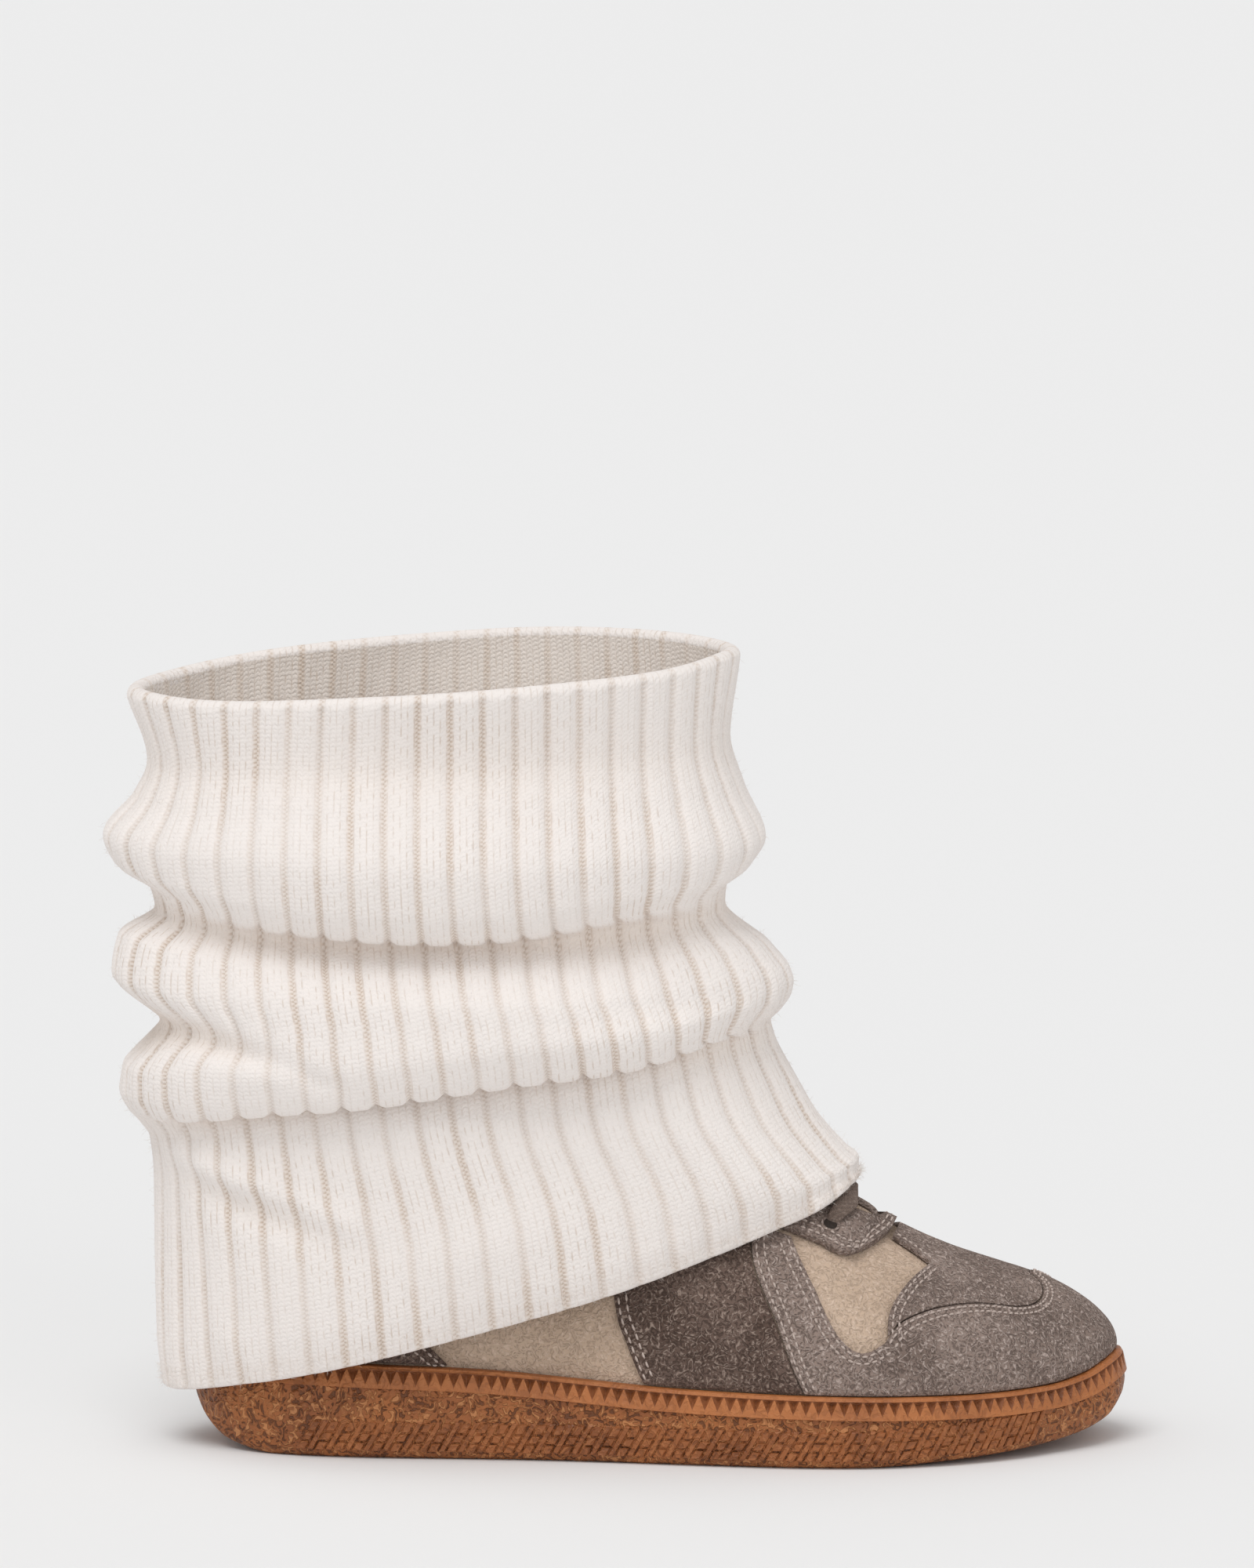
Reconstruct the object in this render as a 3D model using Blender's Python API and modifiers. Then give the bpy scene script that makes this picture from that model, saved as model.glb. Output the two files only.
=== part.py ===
"""A sweater boot for a right foot: a low suede trainer on a rubber cup sole, under a slouched rib-knit shaft.

Metres, +Z up, the toe towards +X and the outer side of the foot at -Y. The origin is on the ground under
the heel seat. Tables hold shares of the named sizes, one row for each section, fold or corner.
"""

import math

import bmesh
import bpy
import numpy as np
from mathutils import Vector
from mathutils.bvhtree import BVHTree
from mathutils.geometry import delaunay_2d_cdt

# Sole sizes
SOLE_LENGTH = 0.268
BALL_WIDTH = 0.098
HEEL_SEAT = 0.040
RIM_HEIGHT = 0.028
HEEL_SPRING = 0.0125
TOE_SPRING = 0.012
ARCH_LIFT = 0.0015
CUP_DEPTH = 0.007
SOLE_WALL = 0.0024
RIM_LEAN = 0.0012
SOLE_EDGE_RADIUS = 0.003
BAND_HEIGHT = 0.0057
BAND_LIP = 0.0008
TOOTH_PITCH = 0.0036
TOOTH_RELIEF = 0.0007
LUG_FOOT = 0.0002
LUG_HEIGHT = 0.0078
LUG_PITCH = 0.0054
LUG_WIDTH = 0.0024
LUG_RELIEF = 0.0008
LUG_SLANT = 0.0050
LUG_REACH = (0.135, 0.845)

# Upper sizes
INSTEP_HEIGHT = 0.100
THROAT_WIDTH = 0.028
COLLAR_WIDTH = 0.062
UPPER_WALL = 0.002
PANEL_THICKNESS = 0.0012
TOE_PANEL_THICKNESS = 0.0015
EYESTAY_THICKNESS = 0.0022
INSOLE_THICKNESS = 0.004
TONGUE_WIDTH = 0.046
TONGUE_THICKNESS = 0.003
TONGUE_RISE = 0.022
TONGUE_SLACK = 0.0008
TONGUE_TUCK = 0.03
TONGUE_FOOT = 0.7
LACE_WIDTH = 0.006
LACE_THICKNESS = 0.0014
LACE_PITCH = 0.017
EYELET_EDGE = 0.008
LACE_BARS = 4

# Knitted shaft sizes
SHAFT_HEIGHT = 0.2275
SHAFT_LENGTH = 0.1752
SHAFT_WIDTH = 0.104
KNIT_THICKNESS = 0.003
KNIT_EDGE = 0.0054
KNIT_SLACK = 0.0006

# The gap that pieces keep where they meet, and the allowance for two curved faces drawn with flat facets
CLEARANCE = 0.0003
FACET_ALLOWANCE = 0.0003

# How finely the forms are drawn
SOLE_STEPS = 56
VAMP_STEPS = 12
THROAT_STEPS = 12
QUARTER_STEPS = 17
RISE_STEPS = 7
PANEL_STEP = 0.0070
SHAFT_STEPS = 36
SHAFT_ROWS = 27
FRONT_BIAS_RATIO = 0.35
GUIDE_STEPS = 96
BAR_STEPS = 6
TONGUE_ROWS = 12
TONGUE_HALF_STEPS = 4

SEAM_GAP = CLEARANCE + FACET_ALLOWANCE
UPPER_INSET = RIM_LEAN + SOLE_WALL + SEAM_GAP
OUTER = -1
INNER = 1

# The sole seen from above, from the toe tip round the outer side and back along the inner side:
# share of the sole's length, share of the ball's width
SOLE_OUTLINE = (
    (1.000, 0.045),
    (0.985, -0.085),
    (0.945, -0.215),
    (0.880, -0.355),
    (0.800, -0.465),
    (0.710, -0.515),
    (0.610, -0.498),
    (0.500, -0.445),
    (0.390, -0.392),
    (0.270, -0.360),
    (0.160, -0.330),
    (0.070, -0.258),
    (0.018, -0.142),
    (0.000, 0.000),
    (0.018, 0.142),
    (0.070, 0.252),
    (0.160, 0.315),
    (0.270, 0.325),
    (0.390, 0.318),
    (0.500, 0.350),
    (0.610, 0.412),
    (0.710, 0.462),
    (0.800, 0.478),
    (0.880, 0.430),
    (0.945, 0.322),
    (0.985, 0.190),
)
HEEL_ROW = 13


class Table:
    """Rows of shares under named columns, read by the first column along smooth curves that never overshoot."""

    def __init__(self, columns, rows):
        self.values = dict(zip(columns, np.array(rows, dtype=float).T))
        self.places = self.values[columns[0]]

    def __call__(self, column, at):
        places = self.places
        values = self.values[column]
        row = int(np.clip(np.searchsorted(places, at) - 1, 0, len(places) - 2))
        span = places[row + 1] - places[row]
        share = min(max((at - places[row]) / span, 0.0), 1.0)
        start = self.slope(values, row) * span
        end = self.slope(values, row + 1) * span
        rest = 1.0 - share
        return float(
            values[row] * rest * rest * (1 + 2 * share)
            + start * rest * rest * share
            + values[row + 1] * share * share * (3 - 2 * share)
            - end * share * share * rest
        )

    def slope(self, values, row):
        """The slope at a row: level at a peak or dip, else the harmonic mean of the slopes beside it."""
        places = self.places
        last = len(places) - 1
        steps = [
            (values[k + 1] - values[k]) / (places[k + 1] - places[k])
            for k in (row - 1, row)
            if 0 <= k < last
        ]
        if len(steps) == 1:
            return steps[0]
        before, after = steps
        if before * after <= 0:
            return 0.0
        return 2 * before * after / (before + after)


SOLE_LEVELS = Table(
    ("along", "rim", "heel_lift", "arch_lift", "toe_lift"),
    (
        (0.000, 1.00, 1.00, 0.0, 0.00),
        (0.012, 1.00, 0.56, 0.0, 0.00),
        (0.035, 1.00, 0.20, 0.0, 0.00),
        (0.085, 0.99, 0.00, 0.0, 0.00),
        (0.200, 0.96, 0.00, 0.0, 0.00),
        (0.300, 0.93, 0.00, 0.3, 0.00),
        (0.400, 0.86, 0.00, 1.0, 0.00),
        (0.500, 0.79, 0.00, 0.5, 0.00),
        (0.600, 0.755, 0.00, 0.0, 0.00),
        (0.720, 0.73, 0.00, 0.0, 0.00),
        (0.790, 0.715, 0.00, 0.0, 0.07),
        (0.870, 0.70, 0.00, 0.0, 0.17),
        (0.920, 0.71, 0.00, 0.0, 0.27),
        (0.960, 0.77, 0.00, 0.0, 0.42),
        (0.985, 0.86, 0.00, 0.0, 0.62),
        (1.000, 0.92, 0.00, 0.0, 1.00),
    ),
)

# The upper's sections, from the toe (0) to the heel (1). Along, height and the two spreads place the top
# of the section, on the vamp's ridge, the throat or the collar; rise and flare shape its lower end, reach
# and drop its upper end.
UPPER_SECTIONS = Table(
    ("around", "along", "height", "throat", "collar", "rise", "flare", "reach", "drop"),
    (
        (0.000, 0.865, 0.495, 0.00, 0.00, 0.32, 0.014, 0.53, 0.19),
        (0.100, 0.853, 0.508, 0.00, 0.00, 0.33, 0.020, 0.60, 0.17),
        (0.200, 0.825, 0.534, 0.00, 0.00, 0.34, 0.026, 0.72, 0.14),
        (0.280, 0.784, 0.578, 0.00, 0.00, 0.35, 0.030, 0.80, 0.13),
        (0.345, 0.735, 0.640, 0.00, 0.00, 0.35, 0.030, 0.80, 0.15),
        (0.365, 0.724, 0.652, 0.50, 0.00, 0.35, 0.030, 0.77, 0.17),
        (0.390, 0.705, 0.672, 0.80, 0.00, 0.35, 0.030, 0.74, 0.20),
        (0.430, 0.665, 0.718, 0.90, 0.00, 0.35, 0.030, 0.70, 0.24),
        (0.500, 0.600, 0.800, 0.94, 0.00, 0.36, 0.026, 0.66, 0.20),
        (0.600, 0.500, 0.925, 1.00, 0.00, 0.37, 0.018, 0.60, 0.19),
        (0.655, 0.438, 1.000, 1.20, 0.00, 0.37, 0.014, 0.56, 0.20),
        (0.700, 0.380, 0.930, 0.00, 0.78, 0.36, 0.012, 0.26, 0.34),
        (0.780, 0.280, 0.755, 0.00, 0.98, 0.35, 0.014, 0.12, 0.36),
        (0.850, 0.180, 0.725, 0.00, 0.96, 0.35, 0.020, 0.06, 0.38),
        (0.930, 0.072, 0.800, 0.00, 0.66, 0.35, 0.028, 0.02, 0.38),
        (1.000, 0.022, 0.870, 0.00, 0.00, 0.35, 0.034, 0.00, 0.38),
    ),
)

# The pattern pieces, drawn on one side of the upper: share of the way from toe to heel, share of the rise
# from the sole's rim to the top edge. Strokes are smooth and meet at corners; a piece on both sides is
# mirrored and joined where it meets the toe, the ridge or the heel.
PATTERN_RISE = 0.060
TOE_PANEL = (
    ((0.000, 0.0), (0.378, 0.0)),
    ((0.378, 0.0), (0.410, 0.35), (0.452, 0.62), (0.468, 0.765)),
    ((0.468, 0.765), (0.428, 0.775)),
    ((0.428, 0.775), (0.385, 0.555), (0.348, 0.31), (0.325, 0.245), (0.305, 0.31)),
    (
        (0.305, 0.31),
        (0.288, 0.44),
        (0.250, 0.54),
        (0.200, 0.585),
        (0.140, 0.565),
        (0.100, 0.595),
        (0.060, 0.695),
        (0.030, 0.815),
        (0.000, 0.83),
    ),
    ((0.000, 0.83), (0.000, 0.0)),
)
VAMP_PANEL = (
    (
        (0.000, 0.845),
        (0.032, 0.83),
        (0.064, 0.71),
        (0.102, 0.61),
        (0.140, 0.58),
        (0.200, 0.60),
        (0.252, 0.555),
        (0.290, 0.45),
        (0.302, 0.36),
    ),
    ((0.302, 0.36), (0.302, 0.50), (0.287, 0.67), (0.264, 0.815)),
    ((0.264, 0.815), (0.290, 0.865), (0.318, 0.90)),
    ((0.318, 0.90), (0.318, 1.00)),
    ((0.318, 1.00), (0.000, 1.00)),
    ((0.000, 1.00), (0.000, 0.845)),
)
EYESTAY = (
    ((0.324, 1.00), (0.326, 0.90), (0.345, 0.775), (0.372, 0.75), (0.400, 0.785), (0.430, 0.80)),
    ((0.430, 0.80), (0.520, 0.80), (0.640, 0.80)),
    ((0.640, 0.80), (0.645, 1.00)),
    ((0.645, 1.00), (0.345, 1.00)),
    ((0.345, 1.00), (0.324, 1.00)),
)
QUARTER = (
    ((0.382, 0.0), (0.530, 0.0)),
    ((0.530, 0.0), (0.547, 0.15), (0.565, 0.30), (0.600, 0.765)),
    ((0.600, 0.765), (0.474, 0.765)),
    ((0.474, 0.765), (0.457, 0.62), (0.415, 0.35), (0.382, 0.0)),
)
COUNTER = (
    ((0.712, 0.0), (1.000, 0.0)),
    ((1.000, 0.0), (1.000, 0.60)),
    ((1.000, 0.60), (0.900, 0.58), (0.820, 0.45), (0.712, 0.0)),
)
PANELS = (
    ("toe_panel", TOE_PANEL, (OUTER, INNER), TOE_PANEL_THICKNESS, PANEL_STEP),
    ("vamp_panel", VAMP_PANEL, (OUTER, INNER), PANEL_THICKNESS, PANEL_STEP),
    ("eyestay", EYESTAY, (OUTER, INNER), EYESTAY_THICKNESS, PANEL_STEP / 2),
    ("quarter_outer", QUARTER, (OUTER,), PANEL_THICKNESS, PANEL_STEP),
    ("quarter_inner", QUARTER, (INNER,), PANEL_THICKNESS, PANEL_STEP),
    ("heel_counter", COUNTER, (OUTER, INNER), PANEL_THICKNESS, PANEL_STEP),
)
VAMP_END_SHARE = 0.345
THROAT_FRONT_SHARE = 0.430
THROAT_TOP_SHARE = 0.655
FIRST_EYELET_SHARE = 0.400

# The knitted shaft's rings from its hem to its top edge, in shares of its length, height and width: where
# the ring meets the back and the front, its spread to each side, and how far its sides hang below its middle.
# The hem keeps its place on the instep, whatever the shaft's height.
SHAFT_RINGS = Table(
    ("place", "back", "back_height", "front", "front_height", "outer", "inner", "outer_droop", "inner_droop"),
    (
        (0.00, -0.280, 0.076, 0.860, 0.332, 0.445, 0.42, 0.045, 0.045),
        (0.06, -0.289, 0.135, 0.862, 0.356, 0.470, 0.44, 0.040, 0.040),
        (0.15, -0.291, 0.235, 0.840, 0.372, 0.480, 0.45, 0.020, 0.020),
        (0.24, -0.292, 0.330, 0.795, 0.412, 0.485, 0.46, 0.000, 0.010),
        (0.31, -0.300, 0.385, 0.752, 0.470, 0.470, 0.46, -0.010, 0.000),
        (0.35, -0.325, 0.412, 0.712, 0.528, 0.475, 0.46, -0.010, 0.000),
        (0.39, -0.355, 0.440, 0.728, 0.553, 0.545, 0.53, 0.020, 0.010),
        (0.45, -0.352, 0.480, 0.748, 0.575, 0.560, 0.54, 0.035, 0.020),
        (0.50, -0.290, 0.540, 0.752, 0.590, 0.545, 0.54, 0.045, 0.020),
        (0.56, -0.366, 0.600, 0.748, 0.606, 0.550, 0.54, 0.060, 0.020),
        (0.61, -0.352, 0.650, 0.715, 0.640, 0.520, 0.51, 0.085, 0.020),
        (0.66, -0.274, 0.692, 0.630, 0.702, 0.430, 0.43, 0.110, 0.020),
        (0.70, -0.352, 0.735, 0.690, 0.737, 0.520, 0.51, 0.085, 0.010),
        (0.75, -0.374, 0.775, 0.716, 0.772, 0.550, 0.54, 0.050, 0.000),
        (0.82, -0.325, 0.826, 0.678, 0.838, 0.500, 0.49, 0.010, -0.010),
        (0.89, -0.303, 0.870, 0.652, 0.900, 0.465, 0.46, 0.000, -0.025),
        (1.00, -0.333, 0.948, 0.667, 0.998, 0.490, 0.48, 0.025, -0.040),
    ),
)
FULLNESS_RATIO = 2.15
HEM_SHARE = 0.31
HEM_RISE_RATIO = 2.275


def closed_curve(points, samples_between):
    """Samples of the smooth closed cubic curve through the points."""
    points = np.array(points, dtype=float)
    count = len(points)
    ahead = np.roll(points, -1, axis=0)
    spans = np.linalg.norm(ahead - points, axis=1)
    slopes = (ahead - points) / spans[:, None]
    matrix = np.zeros((count, count))
    for k in range(count):
        matrix[k, k - 1] = spans[k - 1]
        matrix[k, k] = 2 * (spans[k - 1] + spans[k])
        matrix[k, (k + 1) % count] = spans[k]
    bends = np.linalg.solve(matrix, 6 * (slopes - np.roll(slopes, 1, axis=0)))
    samples = []
    for k in range(count):
        after = (k + 1) % count
        for step in range(samples_between):
            share = step / samples_between
            rest = 1 - share
            square = spans[k] * spans[k] / 6
            samples.append(
                rest * points[k]
                + share * points[after]
                + square * ((rest**3 - rest) * bends[k] + (share**3 - share) * bends[after])
            )
    return np.array(samples)


def stroke(points, step):
    """Points a step or less apart along the smooth open curve through a few pattern points."""
    points = [Vector(p) for p in points]
    if len(points) == 2:
        parts = max(1, math.ceil((points[1] - points[0]).length / step))
        return [points[0].lerp(points[1], k / parts) for k in range(parts)]
    drawn = []
    for k in range(len(points) - 1):
        before = points[max(k - 1, 0)]
        start = points[k]
        end = points[k + 1]
        after = points[min(k + 2, len(points) - 1)]
        parts = max(1, math.ceil((end - start).length / step))
        for part in range(parts):
            share = part / parts
            drawn.append(
                0.5
                * (
                    2 * start
                    + (end - before) * share
                    + (2 * before - 5 * start + 4 * end - after) * share**2
                    + (3 * start - before - 3 * end + after) * share**3
                )
            )
    return drawn


def drawn_outline():
    """The sole's outline from above as dense points, and the running length share of each side."""
    spread = [
        (along * SOLE_LENGTH - HEEL_SEAT, across * BALL_WIDTH) for along, across in SOLE_OUTLINE
    ]
    samples_between = 24
    samples = closed_curve(spread, samples_between)
    heel = HEEL_ROW * samples_between
    sides = {OUTER: samples[: heel + 1], INNER: np.vstack([samples[heel:], samples[:1]])[::-1]}
    lengths = {}
    for side, points in sides.items():
        run = np.concatenate([[0], np.cumsum(np.linalg.norm(np.diff(points, axis=0), axis=1))])
        lengths[side] = run
    return sides, lengths


OUTLINE_SIDES, OUTLINE_LENGTHS = drawn_outline()
SIDE_LENGTH = float(OUTLINE_LENGTHS[OUTER][-1] + OUTLINE_LENGTHS[INNER][-1]) / 2


def side_and_share(turn):
    """A place round the boot, 0 at the toe, 1 at the heel and 2 at the toe again, as side and toe-to-heel share."""
    turn = turn % 2.0
    if turn <= 1.0:
        return OUTER, turn
    return INNER, 2.0 - turn


def outline_at(turn, inset=0.0):
    """The point of the sole's outline at a place round the boot, set in by a distance."""
    nudge = 0.004
    tangent = (outline_sample(turn + nudge) - outline_sample(turn - nudge)).normalized()
    outward = Vector((tangent.y, -tangent.x))
    middle = outline_sample(turn)
    if outward.dot(middle - Vector((SOLE_LENGTH * 0.4 - HEEL_SEAT, 0.0))) < 0:
        outward = -outward
    return middle - outward * inset, outward


def outline_sample(turn):
    side, share = side_and_share(turn)
    run = OUTLINE_LENGTHS[side]
    at = share * run[-1]
    points = OUTLINE_SIDES[side]
    return Vector((float(np.interp(at, run, points[:, 0])), float(np.interp(at, run, points[:, 1]))))


def along_at(turn):
    """The share of the sole's length at a place round the boot."""
    return (outline_sample(turn).x + HEEL_SEAT) / SOLE_LENGTH


def rim_height(turn):
    return RIM_HEIGHT * SOLE_LEVELS("rim", along_at(turn))


def tread_height(turn):
    """How high the sole's underside lies: 0 but for the heel's and the toe's spring and the inner arch."""
    side, _ = side_and_share(turn)
    along = along_at(turn)
    lift = HEEL_SPRING * SOLE_LEVELS("heel_lift", along) + TOE_SPRING * SOLE_LEVELS("toe_lift", along)
    if side == INNER:
        lift += ARCH_LIFT * SOLE_LEVELS("arch_lift", along)
    return lift


def sole_point(turn, height, inset):
    place, _ = outline_at(turn, inset)
    return Vector((place.x, place.y, height))


def section(turn):
    """The four control points of the upper's section at a place round the boot, from the rim to the top."""
    side, share = side_and_share(turn)
    place, outward = outline_at(turn, UPPER_INSET)
    foot = Vector((place.x, place.y, rim_height(turn) + SEAM_GAP))
    spread = (
        UPPER_SECTIONS("throat", share) * THROAT_WIDTH / 2
        + UPPER_SECTIONS("collar", share) * COLLAR_WIDTH / 2
    )
    top = Vector(
        (
            UPPER_SECTIONS("along", share) * SOLE_LENGTH - HEEL_SEAT,
            side * spread,
            UPPER_SECTIONS("height", share) * INSTEP_HEIGHT,
        )
    )
    climb = top.z - foot.z
    flare = outward * UPPER_SECTIONS("flare", share) * BALL_WIDTH
    lower = foot + Vector((flare.x, flare.y, UPPER_SECTIONS("rise", share) * climb))
    reach = UPPER_SECTIONS("reach", share)
    upper = top + Vector(
        (
            reach * (foot.x - top.x),
            reach * (foot.y - top.y),
            -UPPER_SECTIONS("drop", share) * climb,
        )
    )
    return foot, lower, upper, top


def on_section(points, up):
    foot, lower, upper, top = points
    rest = 1 - up
    return foot * rest**3 + lower * 3 * rest**2 * up + upper * 3 * rest * up**2 + top * up**3


def is_ridge(turn):
    """Whether the two sides meet on the vamp's ridge here, ahead of the throat."""
    _, share = side_and_share(turn)
    return share <= VAMP_END_SHARE + 1e-6


def skin_normal(turn, up):
    """The outward direction of the upper's skin."""
    nudge = 0.006
    _, share = side_and_share(turn)
    on_ridge = up > 0.999 and is_ridge(turn)
    if share < 2 * nudge:
        up = min(up, 0.95)
    ahead = on_section(section(turn + nudge), up)
    behind = on_section(section(turn - nudge), up)
    points = section(turn)
    above = on_section(points, min(up + nudge, 1.0))
    below = on_section(points, max(up - nudge, 0.0))
    normal = (behind - ahead).cross(above - below).normalized()
    if on_ridge:
        normal = Vector((normal.x, 0.0, normal.z)).normalized()
    return normal


def skin(turn, up, lift=0.0):
    """A point of the upper's outer face, raised by a distance along the outward direction."""
    place = on_section(section(turn), up)
    if lift:
        place = place + skin_normal(turn, up) * lift
    return place


def stations():
    """The places along one side at which the upper is drawn, closer together round the throat's front."""
    return (
        list(np.linspace(0, VAMP_END_SHARE, VAMP_STEPS + 1))[:-1]
        + list(np.linspace(VAMP_END_SHARE, THROAT_FRONT_SHARE, THROAT_STEPS + 1))[:-1]
        + list(np.linspace(THROAT_FRONT_SHARE, 1, QUARTER_STEPS + 1))
    )


def new_collection(name):
    collection = bpy.data.collections.new(name)
    bpy.context.scene.collection.children.link(collection)
    return collection


def finish(name, colour, roughness):
    """A plain material of one colour and roughness."""
    material = bpy.data.materials.new(name)
    material.use_nodes = True
    shader = material.node_tree.nodes["Principled BSDF"]
    shader.inputs["Base Color"].default_value = (*colour, 1.0)
    shader.inputs["Roughness"].default_value = roughness
    shader.inputs["Metallic"].default_value = 0.0
    return material


def add_piece(name, bm, material, collection, sharp_angle=35):
    """The mesh as a named object, shaded smooth up to an angle."""
    mesh = bpy.data.meshes.new(name)
    bm.to_mesh(mesh)
    bm.free()
    mesh.shade_smooth()
    mesh.set_sharp_from_angle(angle=math.radians(sharp_angle))
    mesh.materials.append(material)
    piece = bpy.data.objects.new(name, mesh)
    collection.objects.link(piece)
    return piece


def thicken(piece, thickness, outward):
    """Give an open surface its wall, to the outer side or the inner side of the surface."""
    wall = piece.modifiers.new("wall", "SOLIDIFY")
    wall.thickness = thickness
    wall.offset = 1.0 if outward else -1.0
    wall.use_even_offset = True
    wall.use_quality_normals = True
    return wall


def ring(bm, turns, place):
    """One loop of points round the boot, each with its turn."""
    return [(turn, bm.verts.new(place(turn))) for turn in turns]


def bridge(bm, lower, upper):
    """Triangles between two loops round the boot, which may differ in how many points they have."""

    def turn_of(loop, k):
        return loop[k % len(loop)][0] + 2.0 * (k // len(loop))

    i = 0
    j = 0
    while i < len(lower) or j < len(upper):
        here = lower[i % len(lower)][1]
        over = upper[j % len(upper)][1]
        if j >= len(upper) or (i < len(lower) and turn_of(lower, i + 1) <= turn_of(upper, j + 1)):
            i += 1
            bm.faces.new((here, lower[i % len(lower)][1], over))
        else:
            j += 1
            bm.faces.new((here, upper[j % len(upper)][1], over))


def ladder(bm, loop):
    """Close an even loop, which starts at the toe, with rungs from its outer to its inner side."""
    count = len(loop)
    for k in range(count // 2):
        rung = [loop[k][1], loop[k + 1][1], loop[(count - k - 1) % count][1], loop[(count - k) % count][1]]
        corners = [v for n, v in enumerate(rung) if v not in rung[:n]]
        bm.faces.new(corners)


def even_turns(count):
    return [2.0 * k / count for k in range(count)]


def lug_cells():
    """The low and high ends of each slanted side lug, as turns, and the plain stretches between them."""
    first, last = LUG_REACH
    pitch = LUG_PITCH / SIDE_LENGTH
    width = LUG_WIDTH / SIDE_LENGTH
    slant = LUG_SLANT / SIDE_LENGTH
    count = int((last - first) / pitch)
    starts = [first + k * pitch for k in range(count)]
    outer = [(start + slant, start + slant + width, start, start + width) for start in starts]
    inner = [(2 - b, 2 - a, 2 - d, 2 - c) for a, b, c, d in reversed(outer)]
    return outer, inner


def side_lugs(bm):
    """The belt of slanted lugs round the sole's lower wall. Gives its lower and its upper loop."""
    outer, inner = lug_cells()
    gap = 2.0 / SOLE_STEPS

    def stretch(start, end):
        parts = max(1, round((end - start) / gap))
        return [start + (end - start) * k / parts for k in range(1, parts)]

    toe_turns = stretch(inner[-1][1] - 2, outer[0][2])
    low_turns = []
    high_turns = []
    lugs = []

    def add(low, high):
        low_turns.append(low)
        high_turns.append(high)

    for turn in toe_turns:
        if turn >= 0:
            add(turn, turn)
    for a, b, c, d in outer:
        lugs.append(len(low_turns))
        add(a, c)
        add(b, d)
    for turn in stretch(outer[-1][1], inner[0][0]):
        add(turn, turn)
    for a, b, c, d in inner:
        lugs.append(len(low_turns))
        add(a, c)
        add(b, d)
    for turn in toe_turns:
        if turn < 0:
            add(turn + 2, turn + 2)

    def low_place(turn, relief=0.0):
        return sole_point(turn, tread_height(turn) + SOLE_EDGE_RADIUS + LUG_FOOT, -relief)

    def high_place(turn, relief=0.0):
        return sole_point(turn, tread_height(turn) + SOLE_EDGE_RADIUS + LUG_FOOT + LUG_HEIGHT, -relief)

    low = ring(bm, low_turns, low_place)
    high = ring(bm, high_turns, high_place)
    count = len(low)
    for k in range(count):
        ahead = (k + 1) % count
        base = (low[k][1], low[ahead][1], high[ahead][1], high[k][1])
        if k not in lugs:
            bm.faces.new(base)
            continue
        raised = [
            bm.verts.new(low_place(low[k][0], LUG_RELIEF)),
            bm.verts.new(low_place(low[ahead][0], LUG_RELIEF)),
            bm.verts.new(high_place(high[ahead][0], LUG_RELIEF)),
            bm.verts.new(high_place(high[k][0], LUG_RELIEF)),
        ]
        bm.faces.new(raised)
        for corner in range(4):
            after = (corner + 1) % 4
            bm.faces.new((base[corner], base[after], raised[after], raised[corner]))
    return low, high


def tooth_band(bm):
    """The band of pointed teeth below the rim, with sunk triangles between them. Gives its two edges."""
    teeth = 2 * round(SIDE_LENGTH / TOOTH_PITCH)
    pitch = 2.0 / teeth
    feet = ring(
        bm,
        [pitch * k for k in range(teeth)],
        lambda turn: sole_point(turn, rim_height(turn) - BAND_HEIGHT, -TOOTH_RELIEF),
    )
    tips = ring(
        bm,
        [pitch * (k + 0.5) for k in range(teeth)],
        lambda turn: sole_point(turn, rim_height(turn) - BAND_LIP, RIM_LEAN - TOOTH_RELIEF),
    )
    sunk = ring(
        bm,
        [pitch * k for k in range(teeth)],
        lambda turn: sole_point(turn, rim_height(turn) - BAND_HEIGHT * 0.4, RIM_LEAN),
    )
    for k in range(teeth):
        foot = feet[k][1]
        bm.faces.new((foot, feet[(k + 1) % teeth][1], tips[k][1]))
        tip_behind = tips[k - 1][1]
        tip_ahead = tips[k][1]
        centre = sunk[k][1]
        bm.faces.new((foot, tip_ahead, centre))
        bm.faces.new((tip_ahead, tip_behind, centre))
        bm.faces.new((tip_behind, foot, centre))
    return feet, tips


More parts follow.
